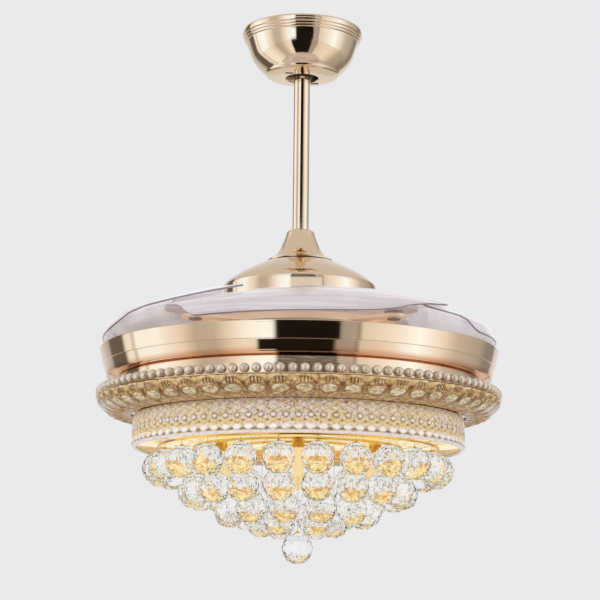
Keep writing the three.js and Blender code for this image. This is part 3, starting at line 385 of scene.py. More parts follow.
BY_SLOT = {"champagne": CHAMPAGNE, "rose": ROSE, "steel": STEEL, "black": BLACK, "copper": COPPER,
           "magnet": MAGNET, "nylon": NYLON_PAINTED_GLOW, "clear": ACRYLIC_PAINTED_GLOW, "crystal": CRYSTAL_PAINTED_GLOW, "amber": AMBER,
           "mirror": MIRROR_PAINTED_GLOW, "pearl": PEARL, "glow": GLOW}
slots = {row["node"]: row["material_slot"] for row in frame["record"]["subparts"]}
for node, obj in frame["nodes"].items():
    material = BY_SLOT.get(slots.get(node))
    if material:
        obj.data.materials.clear()
        obj.data.materials.append(material)


# Mesh helpers


def around(radius, angle, z):
    """Point at a radius and an angle round the axis."""
    return (radius * math.cos(angle), radius * math.sin(angle), z)


def turned(x, y, angle):
    return x * math.cos(angle) - y * math.sin(angle), x * math.sin(angle) + y * math.cos(angle)


def raised(level, points):
    """[radius, height] points whose heights count from a level."""
    return [(r, level + z) for r, z in points]


def add_object(name, data, material=None):
    obj = bpy.data.objects.new(name, data)
    bpy.context.scene.collection.objects.link(obj)
    if material:
        data.materials.append(material)
    return obj


def mesh_object(name, verts, faces, material, smooth=None):
    """Mesh from points in mm; smooth is the angle in degrees up to which edges are rounded over."""
    mesh = bpy.data.meshes.new(name)
    mesh.from_pydata([(x * MM, y * MM, z * MM) for x, y, z in verts], [], faces)
    mesh.validate()
    if smooth:
        mesh.polygons.foreach_set("use_smooth", [True] * len(mesh.polygons))
        mesh.set_sharp_from_angle(angle=math.radians(smooth))
    return add_object(name, mesh, material)


def settle(obj, body, slot, *nodes):
    """The piece rides on its body and stands for these CAD nodes; slot is not used."""
    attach(obj, body)
    if nodes:
        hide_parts(*nodes)


def curve(points, per):
    """Smooth run through [radius, height] points, each stretch in per steps; a point given twice is a
    corner, and a run of two points stays straight."""
    runs = [[points[0]]]
    for a, b in zip(points, points[1:]):
        if a == b:
            runs.append([b])
        else:
            runs[-1].append(b)
    out = []
    for run in runs:
        if len(run) < 3:
            out += run
            continue
        for i in range(len(run) - 1):
            near = [run[max(i - 1, 0)], run[i], run[i + 1], run[min(i + 2, len(run) - 1)]]
            for k in range(per):
                t = k / per
                out.append(tuple(
                    0.5 * (2 * b + (c - a) * t + (2 * a - 5 * b + 4 * c - d) * t * t
                           + (3 * b - 3 * c + d - a) * t ** 3)
                    for a, b, c, d in zip(*near)))
        out.append(run[-1])
    return out


def lathe(name, outline, material, steps=160):
    """Turns a closed [radius, height] outline round Z."""
    verts, faces, rows = [], [], []
    for r, z in outline:
        if abs(r) < 1e-6:
            rows.append([len(verts)])
            verts.append((0, 0, z))
        else:
            rows.append(list(range(len(verts), len(verts) + steps)))
            verts += [around(r, TAU * i / steps, z) for i in range(steps)]
    area = sum(p[0] * q[1] - q[0] * p[1] for p, q in zip(outline, outline[1:] + outline[:1]))
    for row, nxt in zip(rows, rows[1:] + rows[:1]):
        if len(row) == 1 and len(nxt) == 1:
            continue
        for i in range(steps):
            k = (i + 1) % steps
            if len(row) == 1:
                face = (row[0], nxt[k], nxt[i])
            elif len(nxt) == 1:
                face = (row[i], row[k], nxt[0])
            else:
                face = (row[i], row[k], nxt[k], nxt[i])
            faces.append(face if area > 0 else face[::-1])
    return mesh_object(name, verts, faces, material, 35)


def shell(name, skin, wall, material, steps=160):
    """Spun sheet: skin is the outside, the wall lies to the left of its direction."""
    inner = []
    for i, (r, z) in enumerate(skin):
        a = skin[max(i - 1, 0)]
        b = skin[min(i + 1, len(skin) - 1)]
        dr, dz = b[0] - a[0], b[1] - a[1]
        size = math.hypot(dr, dz) or 1.0
        inner.append((r - dz / size * wall, z + dr / size * wall))
    return lathe(name, skin + inner[::-1], material, steps)


def arc(radius, start, end, steps):
    return [around(radius, start + (end - start) * i / steps, 0)[:2] for i in range(steps + 1)]


def hole(radius):
    """Closed circle for a hole, run the other way round than an edge."""
    steps = 160 if radius > 100 else 40
    return arc(radius, TAU, 0, steps)[:-1]


def prism(name, outlines, low, high, material, bevel=0.35):
    """Plate between two heights; the first outline is its edge, the others are holes."""
    bm = bmesh.new()
    edges = []
    for outline in outlines:
        ring = [bm.verts.new((x * MM, y * MM, low * MM)) for x, y in outline]
        edges += [bm.edges.new((a, b)) for a, b in zip(ring, ring[1:] + ring[:1])]
    bmesh.ops.triangle_fill(bm, use_beauty=True, use_dissolve=False, edges=edges)
    extruded = bmesh.ops.extrude_face_region(bm, geom=list(bm.faces))
    lifted = [v for v in extruded["geom"] if isinstance(v, bmesh.types.BMVert)]
    bmesh.ops.translate(bm, verts=lifted, vec=(0, 0, (high - low) * MM))
    bmesh.ops.recalc_face_normals(bm, faces=bm.faces)
    bm.verts.index_update()
    # Sorted, because the extrusion's own order of faces changes from run to run
    faces = sorted([v.index for v in face.verts] for face in bm.faces)
    obj = mesh_object(name, [tuple(v.co / MM) for v in bm.verts], faces, material)
    bm.free()
    edge = obj.modifiers.new("edge", "BEVEL")
    edge.width = bevel * MM
    edge.segments = 2
    edge.limit_method = "ANGLE"
    edge.angle_limit = math.radians(50)
    return obj


def joined(name, objects):
    """One object of several, their modifiers applied."""
    bpy.context.view_layer.update()
    depsgraph = bpy.context.evaluated_depsgraph_get()
    bm = bmesh.new()
    materials = []
    for obj in objects:
        mesh = bpy.data.meshes.new_from_object(obj.evaluated_get(depsgraph))
        mesh.transform(obj.matrix_world)
        start = len(bm.faces)
        bm.from_mesh(mesh)
        bm.faces.ensure_lookup_table()
        for face in bm.faces[start:]:
            look = mesh.materials[face.material_index]
            if look not in materials:
                materials.append(look)
            face.material_index = materials.index(look)
        bpy.data.objects.remove(obj, do_unlink=True)
    merged = bpy.data.meshes.new(name)
    bm.to_mesh(merged)
    bm.free()
    for look in materials:
        merged.materials.append(look)
    return add_object(name, merged)


def shifted(obj, x, y, azimuth=0.0):
    """Moves an object made at the axis to a place in mm, then turns it round the axis."""
    obj.matrix_world = Matrix.Rotation(azimuth, 4, "Z") @ Matrix.Translation((x * MM, y * MM, 0))
    return obj


# Canopy, rod and neck

canopy_skin = curve([
    (21.6, -63.4), (34.0, -62.9), (43.0, -61.3), (46.4, -59.8), (47.8, -58.3), (48.8, -56.8), (53.6, -52.4),
    (59.8, -45.6), (64.8, -38.0), (68.8, -27.8), (71.2, -20.5), (72.6, -16.6), (72.6, -16.6), (73.9, -15.8),
    (74.7, -14.5), (74.7, -13.2), (74.7, -13.2), (75.9, -12.4), (76.5, -10.8), (76.3, -9.2), (76.3, -9.2),
    (77.5, -8.2), (77.9, -6.0), (77.9, -3.2), (77.2, -1.4), (76.0, -0.8)], 5)
settle(shell("canopy_bowl", canopy_skin, 1.2, CHAMPAGNE), FIXED, "champagne", "canopy")

BALL_HEIGHT, BALL_RADIUS, BALL_END = -42.75, 23.0, 20.25     # the hanger ball, and half its length
ball_side = [(BALL_RADIUS * math.sin(a), -BALL_RADIUS * math.cos(a))
             for a in (math.radians(d) for d in range(34, 152, 8))]
ball_outline = raised(BALL_HEIGHT, [(10.9, -BALL_END)] + ball_side + [(10.9, BALL_END)])
settle(lathe("hanger_ball_fine", curve(ball_outline, 2), BLACK, 64), HANGING, "black", "hanger_ball")

rod = lathe("downrod_tube", [(9.1, -304.4), (10.5, -304.4), (10.5, -23.9), (9.1, -23.9)], CHAMPAGNE, 72)
settle(rod, HANGING, "champagne", "downrod")

neck_skin = curve(raised(BAND, [
    (42.0, 119), (37.6, 121.2), (33.2, 124.8), (27.7, 131.6), (23.8, 139.8), (20.4, 148), (18.9, 152.4),
    (17.5, 156.6), (14.9, 158.7), (10.8, 159)]), 5)
settle(shell("neck_flare", neck_skin, 1.2, CHAMPAGNE), HANGING, "champagne", "neck_cover")

dome_skin = curve(raised(BAND, [
    (98.0, 41.8), (98.0, 79.0), (98.0, 79.0), (97.9, 82.0), (96.6, 85.6), (90.3, 91.6), (82.0, 97.4),
    (72.4, 103.0), (62.7, 107.9), (53.0, 112.6), (46.0, 115.6), (37.0, 117.6)]), 5)
settle(shell("dome_cover", dome_skin, 1.2, CHAMPAGNE), ROTOR, "champagne", "motor_dome")

# Band, cover and pan

band_skin = curve(raised(BAND, [
    (224.0, -36.5), (240.6, -36.3), (242.2, -35.2), (242.8, -33.4), (242.8, -33.4), (246.3, -22.2),
    (246.3, -22.2), (246.3, -21.4), (246.9, -20.9), (246.9, -20.9), (251.2, -3.0), (251.2, -3.0),
    (251.6, -1.2), (251.0, -0.3), (249.4, -0.4), (248.2, -1.4)]), 3)
settle(shell("drum_band", band_skin, 1.4, BAND_GOLD, 256), HANGING, "rose", "fan_band")

cover_skin = raised(BAND, [(247.8, -5.2), (135.0, 17.4), (133.0, 18.0), (110.5, 18.0), (109.0, 16.6),
                           (109.0, -7.0), (96.0, -7.2)])
settle(shell("drum_cover", cover_skin, 1.2, ROSE, 192), HANGING, "rose", "pan_cover")

pan_outline = raised(BAND, [
    (9.4, -36.8), (226.6, -36.8), (228.0, -38.2), (228.0, -48.6), (229.4, -50.0), (244.6, -50.0),
    (246.0, -51.4), (246.0, -61.0), (254.6, -61.0), (255.5, -61.7), (254.8, -62.4), (244.5, -62.5),
    (244.5, -51.5), (226.5, -51.5), (226.5, -38.3), (9.4, -38.3)])
settle(lathe("light_pan_fine", pan_outline, ROSE, 256), HANGING, "rose", "light_pan")

# Folding blades: curved sheets round the dome, each with its heel at a pivot

PIVOT = 170.0                                          # radius of the four pivots
AZIMUTHS = [math.radians(42 + 90 * i) for i in range(4)]
SWING = math.radians(145)
OUTER, INNER, TIP_RADIUS = 249.0, 102.0, 184.0         # radii of a blade's two edges and of its tip
HEEL, TIP, ROOT_END, TAPER = (math.radians(d) for d in (-8, 116.5, 20, 50))
ROOF, LIFT = 75.0, 10.5                                # height of a tip over the band, and the heel's drop
PAD_TOP, PAD_REACH, PAD_SLOPE, PAD_WIDTH = 45.0, 50.0, 45.0, 0.32   # flat pad round the pivot
BLADE_THICK = 2.2
ROOF_SHARES = [(-1, 0.975), (-0.89, 0.936), (-0.49, 0.88), (-0.18, 0.825), (0.09, 0.765), (0.29, 0.698),
               (0.46, 0.638), (0.64, 0.568), (0.79, 0.505), (0.88, 0.465), (0.94, 0.405), (1, 0.235)]


def look_up(table, x):
    for (x0, y0), (x1, y1) in zip(table, table[1:]):
        if x <= x1:
            return y0 + (y1 - y0) * max(0.0, x - x0) / (x1 - x0)
    return table[-1][1]


def blade_edge(angle):
    """Inner and outer radius of a blade at an angle round the axis."""
    if angle < ROOT_END:
        bow = math.sin(math.pi / 2 * (angle - HEEL) / (ROOT_END - HEEL))
        return PIVOT - (PIVOT - INNER) * bow ** 0.9, PIVOT + (OUTER - PIVOT) * bow
    share = max(0.0, (angle - TAPER) / (TIP - TAPER))
    return INNER + (TIP_RADIUS - INNER) * share ** 2.2, OUTER - (OUTER - TIP_RADIUS) * share ** 3.4


def blade_height(radius, angle):
    """Roof that falls outwards from the dome, flat where the arm holds the blade."""
    past = radius - PIVOT
    place = past / (PIVOT - INNER if past < 0 else OUTER - PIVOT)
    roof = ROOF * look_up(ROOF_SHARES, place) - LIFT * (TIP - angle) / (TIP - HEEL)
    narrow = PAD_REACH / (PAD_WIDTH * (OUTER - PIVOT))
    near = math.hypot((radius * math.cos(angle) - PIVOT) * narrow, radius * math.sin(angle))
    t = min(1.0, max(0.0, (near - PAD_REACH) / PAD_SLOPE))
    return BAND + PAD_TOP + (roof - PAD_TOP) * t * t * (3 - 2 * t)


def fine_blade(number, azimuth):
    """Sheet in polar steps, which are closer at the heel and at the outer edge."""
    along, across = 84, 26
    top, under = [], []
    for i in range(along + 1):
        angle = HEEL + (TIP - HEEL) * (i / along) ** 1.35
        inner, outer = blade_edge(min(angle, TIP))
        for j in range(across + 1):
            radius = outer - (outer - inner) * (1 - j / across) ** 1.5
            rise = blade_height(radius + 1, angle) - blade_height(radius - 1, angle)
            thick = BLADE_THICK / math.hypot(rise, 2)
            height = blade_height(radius, angle)
            top.append(around(radius, angle + azimuth, height))
            under.append(around(radius + rise * thick, angle + azimuth, height - 2 * thick))
    faces, rim = [], []
    half, row = len(top), across + 1
    for i in range(along):
        for j in range(across):
            a = i * row + j
            faces.append((a, a + 1, a + row + 1, a + row))
            faces.append((half + a, half + a + row, half + a + row + 1, half + a + 1))
        a, b = i * row, i * row + across
        rim.append((a, a + row, half + a + row, half + a))
        rim.append((b, half + b, half + b + row, b + row))
    blade = mesh_object(f"clear_blade_{number}", top + under, faces + rim, ACRYLIC_PAINTED_GLOW, 50)
    blade.data.materials.append(ACRYLIC_EDGE_PAINTED_GLOW)
    for polygon in list(blade.data.polygons)[-len(rim):]:
        polygon.material_index = 1
    settle(blade, f"blade_set_{number}", "clear", f"blade_{number}")


# Gears: a sector on each blade, and the timing ring that the four share

SECTOR_TEETH, RING_TEETH, RING_SET = 17, 68, 13        # RING_SET teeth of the ring stand at each blade
PITCH_PER_TOOTH = 2.0                                  # pitch radius in mm for each tooth
PRESSURE = math.radians(20)
PLAY, ROOT_DEPTH, TIP_HEIGHT = 0.5, 5.0, 3.6
GEAR_LOW, GEAR_HIGH = BAND + 33.0, BAND + 38.0
BORE = 5.2                                             # radius of the holes that the posts go through
POST_TOP = BAND + 45.6


def tooth_half(teeth, radius):
    """Half the angle that a tooth with involute flanks takes up at a radius."""
    pitch = PITCH_PER_TOOTH * teeth
    base = pitch * math.cos(PRESSURE)

    def involute(a):
        return math.tan(a) - a
    at = 0.0 if radius <= base else math.acos(base / radius)
    return math.pi / (2 * teeth) - PLAY / (2 * pitch) + involute(PRESSURE) - involute(at)


def teeth_points(teeth, start, count):
    """Edge of count teeth from an angle on, and the radius between them."""
    root = PITCH_PER_TOOTH * teeth - ROOT_DEPTH
    steps = [root + (ROOT_DEPTH + TIP_HEIGHT) * k / 4 for k in range(5)]
    points = []
    for i in range(count):
        centre = start + i * TAU / teeth
        points += [around(radius, centre - tooth_half(teeth, radius), 0)[:2] for radius in steps]
        points += [around(radius, centre + tooth_half(teeth, radius), 0)[:2] for radius in steps[::-1]]
    return points, root


def fine_arm(number, azimuth):
    """Toothed sector, tongue under the blade, hub and two screws."""
    step = TAU / SECTOR_TEETH
    first = math.pi - step / 2
    count = math.ceil(SWING / step) + 2
    points, root = teeth_points(SECTOR_TEETH, first, count)
    points += arc(root, first + (count - 0.5) * step, math.pi - step + TAU, 14)[1:]
    sector = prism("sector", [points, hole(BORE)], GEAR_LOW, GEAR_HIGH, NYLON_PAINTED_GLOW)
    reach, half_width, way = 25, 11, math.radians(97)
    tongue = [(x + reach, y) for x, y in arc(half_width, -math.pi / 2, math.pi / 2, 24)]
    tongue += [(0, half_width)] + arc(half_width, math.pi / 2, 3 * math.pi / 2, 24)
    tongue = [turned(x, y, way) for x, y in tongue]
    plate = prism("tongue", [tongue, hole(BORE)], GEAR_HIGH, BAND + 42.2, NYLON_PAINTED_GLOW)
    hub_outline = raised(BAND, [(BORE, 38.0), (7.6, 38.0), (7.6, 44.9), (7.2, 45.3), (BORE, 45.3)])
    pieces = [sector, plate, lathe("hub", hub_outline, NYLON_PAINTED_GLOW, 48)]
    screw = curve(raised(BAND, [
        (0, 46.9), (1.6, 46.8), (3.2, 46.1), (3.9, 45.2), (3.9, 45.05), (0, 45.05)]), 3)
    for place in (19.0, 30.0):
        pieces.append(shifted(lathe("head", screw, STEEL, 24), *turned(place, 0, way)))
    arm = joined(f"blade_arm_fine_{number}", pieces)
    settle(shifted(arm, PIVOT, 0, azimuth), f"blade_set_{number}", "nylon", f"blade_arm_{number}")


def fine_post(number, azimuth):
    """Pin with a foot on the spider and a capped head over the blade's hub."""
    shank = raised(BAND, [(0, 21.7), (7.4, 21.7), (8.0, 22.3), (8.0, 23.7), (5.0, 23.7)])
    cap = raised(POST_TOP, [(5.0, 0), (9.3, 0), (9.5, 0.3), (9.3, 1.3), (8.0, 2.3), (5.4, 2.8), (3.0, 2.9),
                           (2.6, 1.5), (0, 1.5)])
    post = joined(f"pivot_post_fine_{number}", [lathe("shank", shank + cap, STEEL, 48)])
    settle(shifted(post, PIVOT, 0, azimuth), ROTOR, "steel", f"pivot_post_{number}")


def fine_spring(number, azimuth):
    """Torsion spring: a round wire wound round the post, with two straight ends."""
    radius, wire, low, high, turns, leg = 10.9, 1.5, BAND + 28.4, BAND + 32.6, 2.6, 1.5
    steps = int(turns * 28)
    end = TAU * turns
    points = [around(radius, end * i / steps, low + wire / 2 + (high - low - wire) * i / steps)
              for i in range(steps + 1)]
    first, last = points[0], points[-1]
    points = [(first[0], first[1] - leg, first[2])] + points + [
        (last[0] - leg * math.sin(end), last[1] + leg * math.cos(end), last[2])]
    data = bpy.data.curves.new(f"torsion_spring_{number}", "CURVE")
    data.dimensions = "3D"
    data.bevel_depth = wire / 2 * MM
    data.bevel_resolution = 4
    data.use_fill_caps = True
    spline = data.splines.new("POLY")
    spline.points.add(len(points) - 1)
    for target, point in zip(spline.points, points):
        target.co = (*(c * MM for c in point), 1)
    spring = add_object(data.name, data, STEEL)
    settle(shifted(spring, PIVOT, 0, azimuth), ROTOR, "steel", f"return_spring_{number}")


def timing_gear():
    """Ring with teeth only where the four sectors run on it."""
    inner, before, step = 118.2, 11, TAU / RING_TEETH
    edge = []
    for azimuth in AZIMUTHS:
        start = azimuth - before * step
        teeth, root = teeth_points(RING_TEETH, start, RING_SET)
        edge += teeth + arc(root, start + (RING_SET - 0.5) * step, start + TAU / 4 - 0.5 * step, 5)
    gear = prism("timing_gear", [edge, hole(inner)], GEAR_LOW, GEAR_HIGH - 0.5, NYLON_PAINTED_GLOW, 0.3)
    settle(gear, "timing_ring", "nylon", "gear_ring")


def spider_plate():
    """Collar on the rotor with four arms that hold the posts."""
    eye, foot = 16, (52, 32)
    blank = [(-foot[0], -foot[1]), (0, -eye)] + arc(eye, -math.pi / 2, math.pi / 2, 28)
    blank += [(0, eye), (-foot[0], foot[1])]
    window = [(-38, -9), (-38, 9), (-22, 6), (-22, -6)]
    arms = [shifted(prism("arm", [blank, hole(BORE), window], BAND + 24, BAND + 28, SATIN_PAINTED_GLOW), PIVOT, 0, azimuth)
            for azimuth in AZIMUTHS]
    collar = lathe("collar", raised(BAND, [
        (86.2, 24), (124.2, 24), (124.2, 32.7), (117.8, 32.7), (117.8, 38.5), (95.2, 38.5), (95.2, 28),
        (86.2, 28)]), SATIN_PAINTED_GLOW)
    settle(joined("spider_plate", arms + [collar]), ROTOR, "champagne", "spider")


for index, azimuth in enumerate(AZIMUTHS):
    fine_blade(index + 1, azimuth)
    fine_arm(index + 1, azimuth)
    fine_post(index + 1, azimuth)
    fine_spring(index + 1, azimuth)
timing_gear()
spider_plate()


# Beads, crystal bars and faceted hoop


def bead_ring():
    """Round beads on a strip."""
    radius, size, level = 249.6, 5.6, BAND - 55.1
    segments, rings = 16, 9
    verts, faces = [], []
    for i in range(BEADS):
        cx, cy, cz = around(radius, TAU * (i + 0.5) / BEADS, level)
        start = len(verts)
        for j in range(rings + 1):
            lat = math.pi * j / rings
            for k in range(segments):
                x, y, z = around(size * math.sin(lat), TAU * k / segments, size * math.cos(lat))
                verts.append((cx + x, cy + y, cz + z))
        for j in range(rings):
            for k in range(segments):
                n = (k + 1) % segments
                row, low = start + j * segments, start + (j + 1) * segments
                faces.append((row + k, low + k, low + n, row + n))
    beads = mesh_object("pearl_beads", verts, faces, PEARL, 80)
    strip = raised(BAND, [(246.3, -60.7), (248.2, -60.7), (248.2, -49.6), (246.3, -49.6)])
    settle(beads, HANGING, "pearl", "bead_ring")
    settle(lathe("bead_strip", strip, ROSE, 256), HANGING, "rose")


def bar_ring():
    """Scalloped ring: each bar has an oval facet across its shoulder."""
    per, middle, reach = 12, 0.41, 0.185      # columns in a bar; place and half height of its oval
    waist, groove, sunk = 0.012, 3.4, 0.9     # edge of the oval; depth between bars and inside the oval
    path = [(254.0, -62.8), (253.4, -66.0), (252.4, -69.3), (247.6, -74.2), (241.7, -78.5), (231.0, -82.0),
            (221.0, -83.2), (210.4, -83.8)]
    back = [(210.6, -82.0), (243.4, -63.2)]
    lengths = [0.0]
    for p, q in zip(path, path[1:]):
        lengths.append(lengths[-1] + math.dist(p, q))

    def at(t):
        """Point of the path at a share of its length, and its normal."""
        t *= lengths[-1]
        k = max(i for i in range(len(path) - 1) if lengths[i] <= t + 1e-9)
        p, q = path[k], path[k + 1]
        size = math.dist(p, q)
        f = (t - lengths[k]) / size
        return p[0] + (q[0] - p[0]) * f, p[1] + (q[1] - p[1]) * f, (p[1] - q[1]) / size, (q[0] - p[0]) / size

    verts, faces = [], []
    steps = BARS * per
    for i in range(steps):
        u = (i % per) / per * 2 - 1
        bulge = math.sqrt(max(0.0, 1 - (u * 0.985) ** 2))
        high, low = middle - reach * bulge, middle + reach * bulge
        shares = [0, high * 0.5, high, high + waist, middle, low - waist, low, (1 + low) / 2, 1]
        column = []
        for n, share in enumerate(shares):
            r, z, nr, nz = at(share)
            inside = 3 <= n <= 5
            sink = groove * (1 - bulge) * (0.55 if inside else 1.0) + (sunk if inside else 0.0)
            column.append((r - nr * sink, z if share in (0, 1) else z + nz * sink))
        column += back
        verts += [around(r, TAU * i / steps, BAND + z) for r, z in column]
    width = len(verts) // steps
    for i in range(steps):
        n = (i + 1) % steps
        for j in range(width):
            k = (j + 1) % width
            faces.append((i * width + j, i * width + k, n * width + k, n * width + j))
    settle(mesh_object("crystal_bars", verts, faces, AMBER, 16), HANGING, "amber", "crystal_bar_ring")


def faceted_hoop():
    """Rows of octagon studs, with small diamonds between their corners."""
    base, inner = 206.2, 203.5                         # radii of the ground and of the inside
    ridge, table_height, table_share = 0.7, 2.6, 0.58  # what stands out from the ground, and a table's size
    cut = 0.29                                         # what a corner takes off a side, as a share of it
    levels = [BAND - 124.0, BAND - 112.0, BAND - 107.0, BAND - 99.5, HOOP_TOP]
    top = len(levels) - 1
    verts, faces, known = [], [], {}

    def vert(key, radius, column, z):
        if key not in known:
            known[key] = len(verts)
            verts.append(around(radius, TAU * column / COLUMNS, z))
        return known[key]

    for c in range(COLUMNS):
        right = (c + 1) % COLUMNS
        sides = ((0, c), (1, right))
        for r in range(top):
            low, tall = levels[r], levels[r + 1] - levels[r]
            cut_w, cut_h = cut, 0.5 if r == 1 else cut
            corner, edge_v, edge_h = {}, {}, {}
            for side, col in sides:
                for up in (0, 1):
                    corner[side, up] = vert(("c", col, r + up), base, col, levels[r + up])
            for side, col in sides:
                for k, share in ((0, cut_h), (1, 1 - cut_h)):
                    edge_v[side, k] = vert(("v", col, r, k), base + ridge, col, low + tall * share)
            for up in (0, 1):
                for k, share in ((0, cut_w), (1, 1 - cut_w)):
                    edge_h[up, k] = vert(("h", c, r + up, k), base + ridge, c + share, levels[r + up])
            octagon = [edge_h[0, 0], edge_h[0, 1], edge_v[1, 0], edge_v[1, 1], edge_h[1, 1], edge_h[1, 0],
                       edge_v[0, 1], edge_v[0, 0]]
            places = [(cut_w, 0), (1 - cut_w, 0), (1, cut_h), (1, 1 - cut_h), (1 - cut_w, 1), (cut_w, 1),
                      (0, 1 - cut_h), (0, cut_h)]
            table = [vert(("t", c, r, n), base + table_height, c + 0.5 + (across - 0.5) * table_share,
                          low + tall * (0.5 + (up - 0.5) * table_share))
                     for n, (across, up) in enumerate(places)]
            faces.append(tuple(table))
            for n in range(8):
                k = (n + 1) % 8
                faces.append((octagon[n], octagon[k], table[k], table[n]))
            faces.append((corner[0, 0], edge_h[0, 0], edge_v[0, 0]))
            faces.append((edge_h[0, 1], corner[1, 0], edge_v[1, 0]))
            faces.append((edge_v[1, 1], corner[1, 1], edge_h[1, 1]))
            faces.append((edge_h[1, 0], corner[0, 1], edge_v[0, 1]))
        in_low = [vert(("i", col, 0), inner, col, levels[0]) for col in (c, right)]
        in_high = [vert(("i", col, 1), inner, col, levels[-1]) for col in (c, right)]
        faces.append((in_low[0], in_high[0], in_high[1], in_low[1]))
        faces.append((*in_low, known["c", right, 0], known["h", c, 0, 1], known["h", c, 0, 0],
                      known["c", c, 0]))
        faces.append((*in_high[::-1], known["c", c, top], known["h", c, top, 0], known["h", c, top, 1],
                      known["c", right, top]))
    hoop = mesh_object("octagon_band", verts, faces, HOOP_GLASS)
    settle(hoop, HANGING, "crystal", "crystal_band")


bead_ring()
carrier_outline = raised(BAND, [
    (243.3, -62.8), (241.6, -62.8), (210.0, -80.4), (204.0, -80.4), (204.0, -83.9), (205.2, -83.9),
    (205.2, -81.6), (210.3, -81.6)])
settle(lathe("carrier_cone", carrier_outline, ROSE, 256), HANGING, "rose", "crystal_carrier")
bar_ring()
faceted_hoop()

# Lamp: plate, bulbs and crystal balls

plate_outline = raised(PLATE, [(0, 0), (202.0, 0), (202.6, 0.4), (202.6, 1.5), (0, 1.5)])
settle(lathe("mirror_disc", plate_outline, MIRROR_PAINTED_GLOW, 180), HANGING, "mirror", "mirror_plate")

BULBS, BULB_CIRCLE, BULB_LOW = 6, 109.0, PLATE - 44.3
cover_outline = curve(raised(BULB_LOW, [
    (0, 0), (2.6, 0.5), (5.4, 2.6), (7.0, 6.2), (7.5, 11), (7.5, 11), (7.5, 27), (6.9, 30.6), (6.0, 33.6),
    (0, 33.6)]), 3)
holder_outline = raised(BULB_LOW, [(0, 33.8), (6.4, 33.8), (7.4, 34.4), (7.4, 43.6), (0, 43.6)])
for index in range(BULBS):
    bulb = joined(f"lamp_{index + 1}", [lathe("cover_shape", cover_outline, GLOW, 40),
                                        lathe("holder", holder_outline, YELLOW, 40)])
    shifted(bulb, *around(BULB_CIRCLE, TAU * (index + 0.5) / BULBS, 0)[:2])
    settle(bulb, HANGING, "glow", f"led_bulb_{index + 1}")

CRYSTAL_RADIUS = 19.9  # of a ball


def ball_facets(centre, spin):
    """Cut crystal ball: staggered rows of triangles between two small tables."""
    sides, rows = 12, [math.radians(d) for d in (-70, -48, -24, 0, 24, 48, 70)]
    points = []
    for j, lat in enumerate(rows):
        for k in range(sides):
            angle = TAU * (k + (j % 2) / 2) / sides + spin
            x, y, z = around(CRYSTAL_RADIUS * math.cos(lat), angle, CRYSTAL_RADIUS * math.sin(lat))
            points.append((centre[0] + x, centre[1] + y, centre[2] + z))
    faces = [tuple(range(sides))[::-1], tuple(range((len(rows) - 1) * sides, len(rows) * sides))]
    for j in range(len(rows) - 1):
        for k in range(sides):
            n = (k + 1) % sides
            a, b, up, nxt = j * sides + k, j * sides + n, (j + 1) * sides + k, (j + 1) * sides + n
            if j % 2:
                faces += [(a, b, nxt), (a, nxt, up)]
            else:
                faces += [(a, b, up), (b, nxt, up)]
    return points, faces


def balls(name, centres):
    verts, faces = [], []
    for centre in centres:
        points, sides = ball_facets(centre, random.uniform(0, 1))
        faces += [tuple(i + len(verts) for i in face) for face in sides]
        verts += points
    return mesh_object(name, verts, faces, CRYSTAL_PAINTED_GLOW)


def hangers(name, centres, hoop):
    """Cap and wire of every ball, and the hoop or disc under the plate that they hang from."""
    top, wire = PLATE - 0.3, 1.1
    parts = []
    cap = [(0, 18.8), (2.6, 19.0), (3.0, 19.7), (2.4, 20.6), (1.2, 21.4), (0.6, 22.0), (0, 22.2)]
    for x, y, z in centres:
        for outline in (curve(raised(z, cap), 3), [(0, z + 22.0), (0.3, z + 22.0), (0.3, top), (0, top)]):
            parts.append(shifted(lathe("part", outline, YELLOW, 12), x, y))
    if hoop:
        section = [(hoop + x, top - wire + y) for x, y in arc(wire, 0, TAU, 10)[:-1]]
    else:
        section = raised(top, [(0, -2.2), (5.6, -2.2), (6.0, -1.8), (6.0, 0), (0, 0)])
    parts.append(lathe("hoop", section, YELLOW, 120))
    return joined(name, parts)


# Balls in a tier, radius of its hoop, drop of their middles below the plate, and turn in parts of a ball
TIERS = [(24, 176.0, 29.0, 0.5), (18, 131.0, 57.0, 0.0), (12, 87.0, 80.0, 0.64), (6, 45.0, 92.6, 0.0)]
for index, (count, radius, drop, turn) in enumerate(TIERS):
    spots = [around(radius, TAU * (k + turn) / count, PLATE - drop) for k in range(count)]
    settle(balls(f"crystal_balls_{index + 1}", spots), HANGING, "crystal", f"crystal_tier_{index + 1}")
    settle(hangers(f"ball_hangers_{index + 1}", spots, radius), HANGING, "mirror")
middle = [(0, 0, PLATE - 125.0)]
settle(balls("crystal_ball_middle", middle), HANGING, "crystal", "crystal_drop")
settle(hangers("ball_hanger_middle", middle, 0), HANGING, "mirror")


# Light, floor and camera


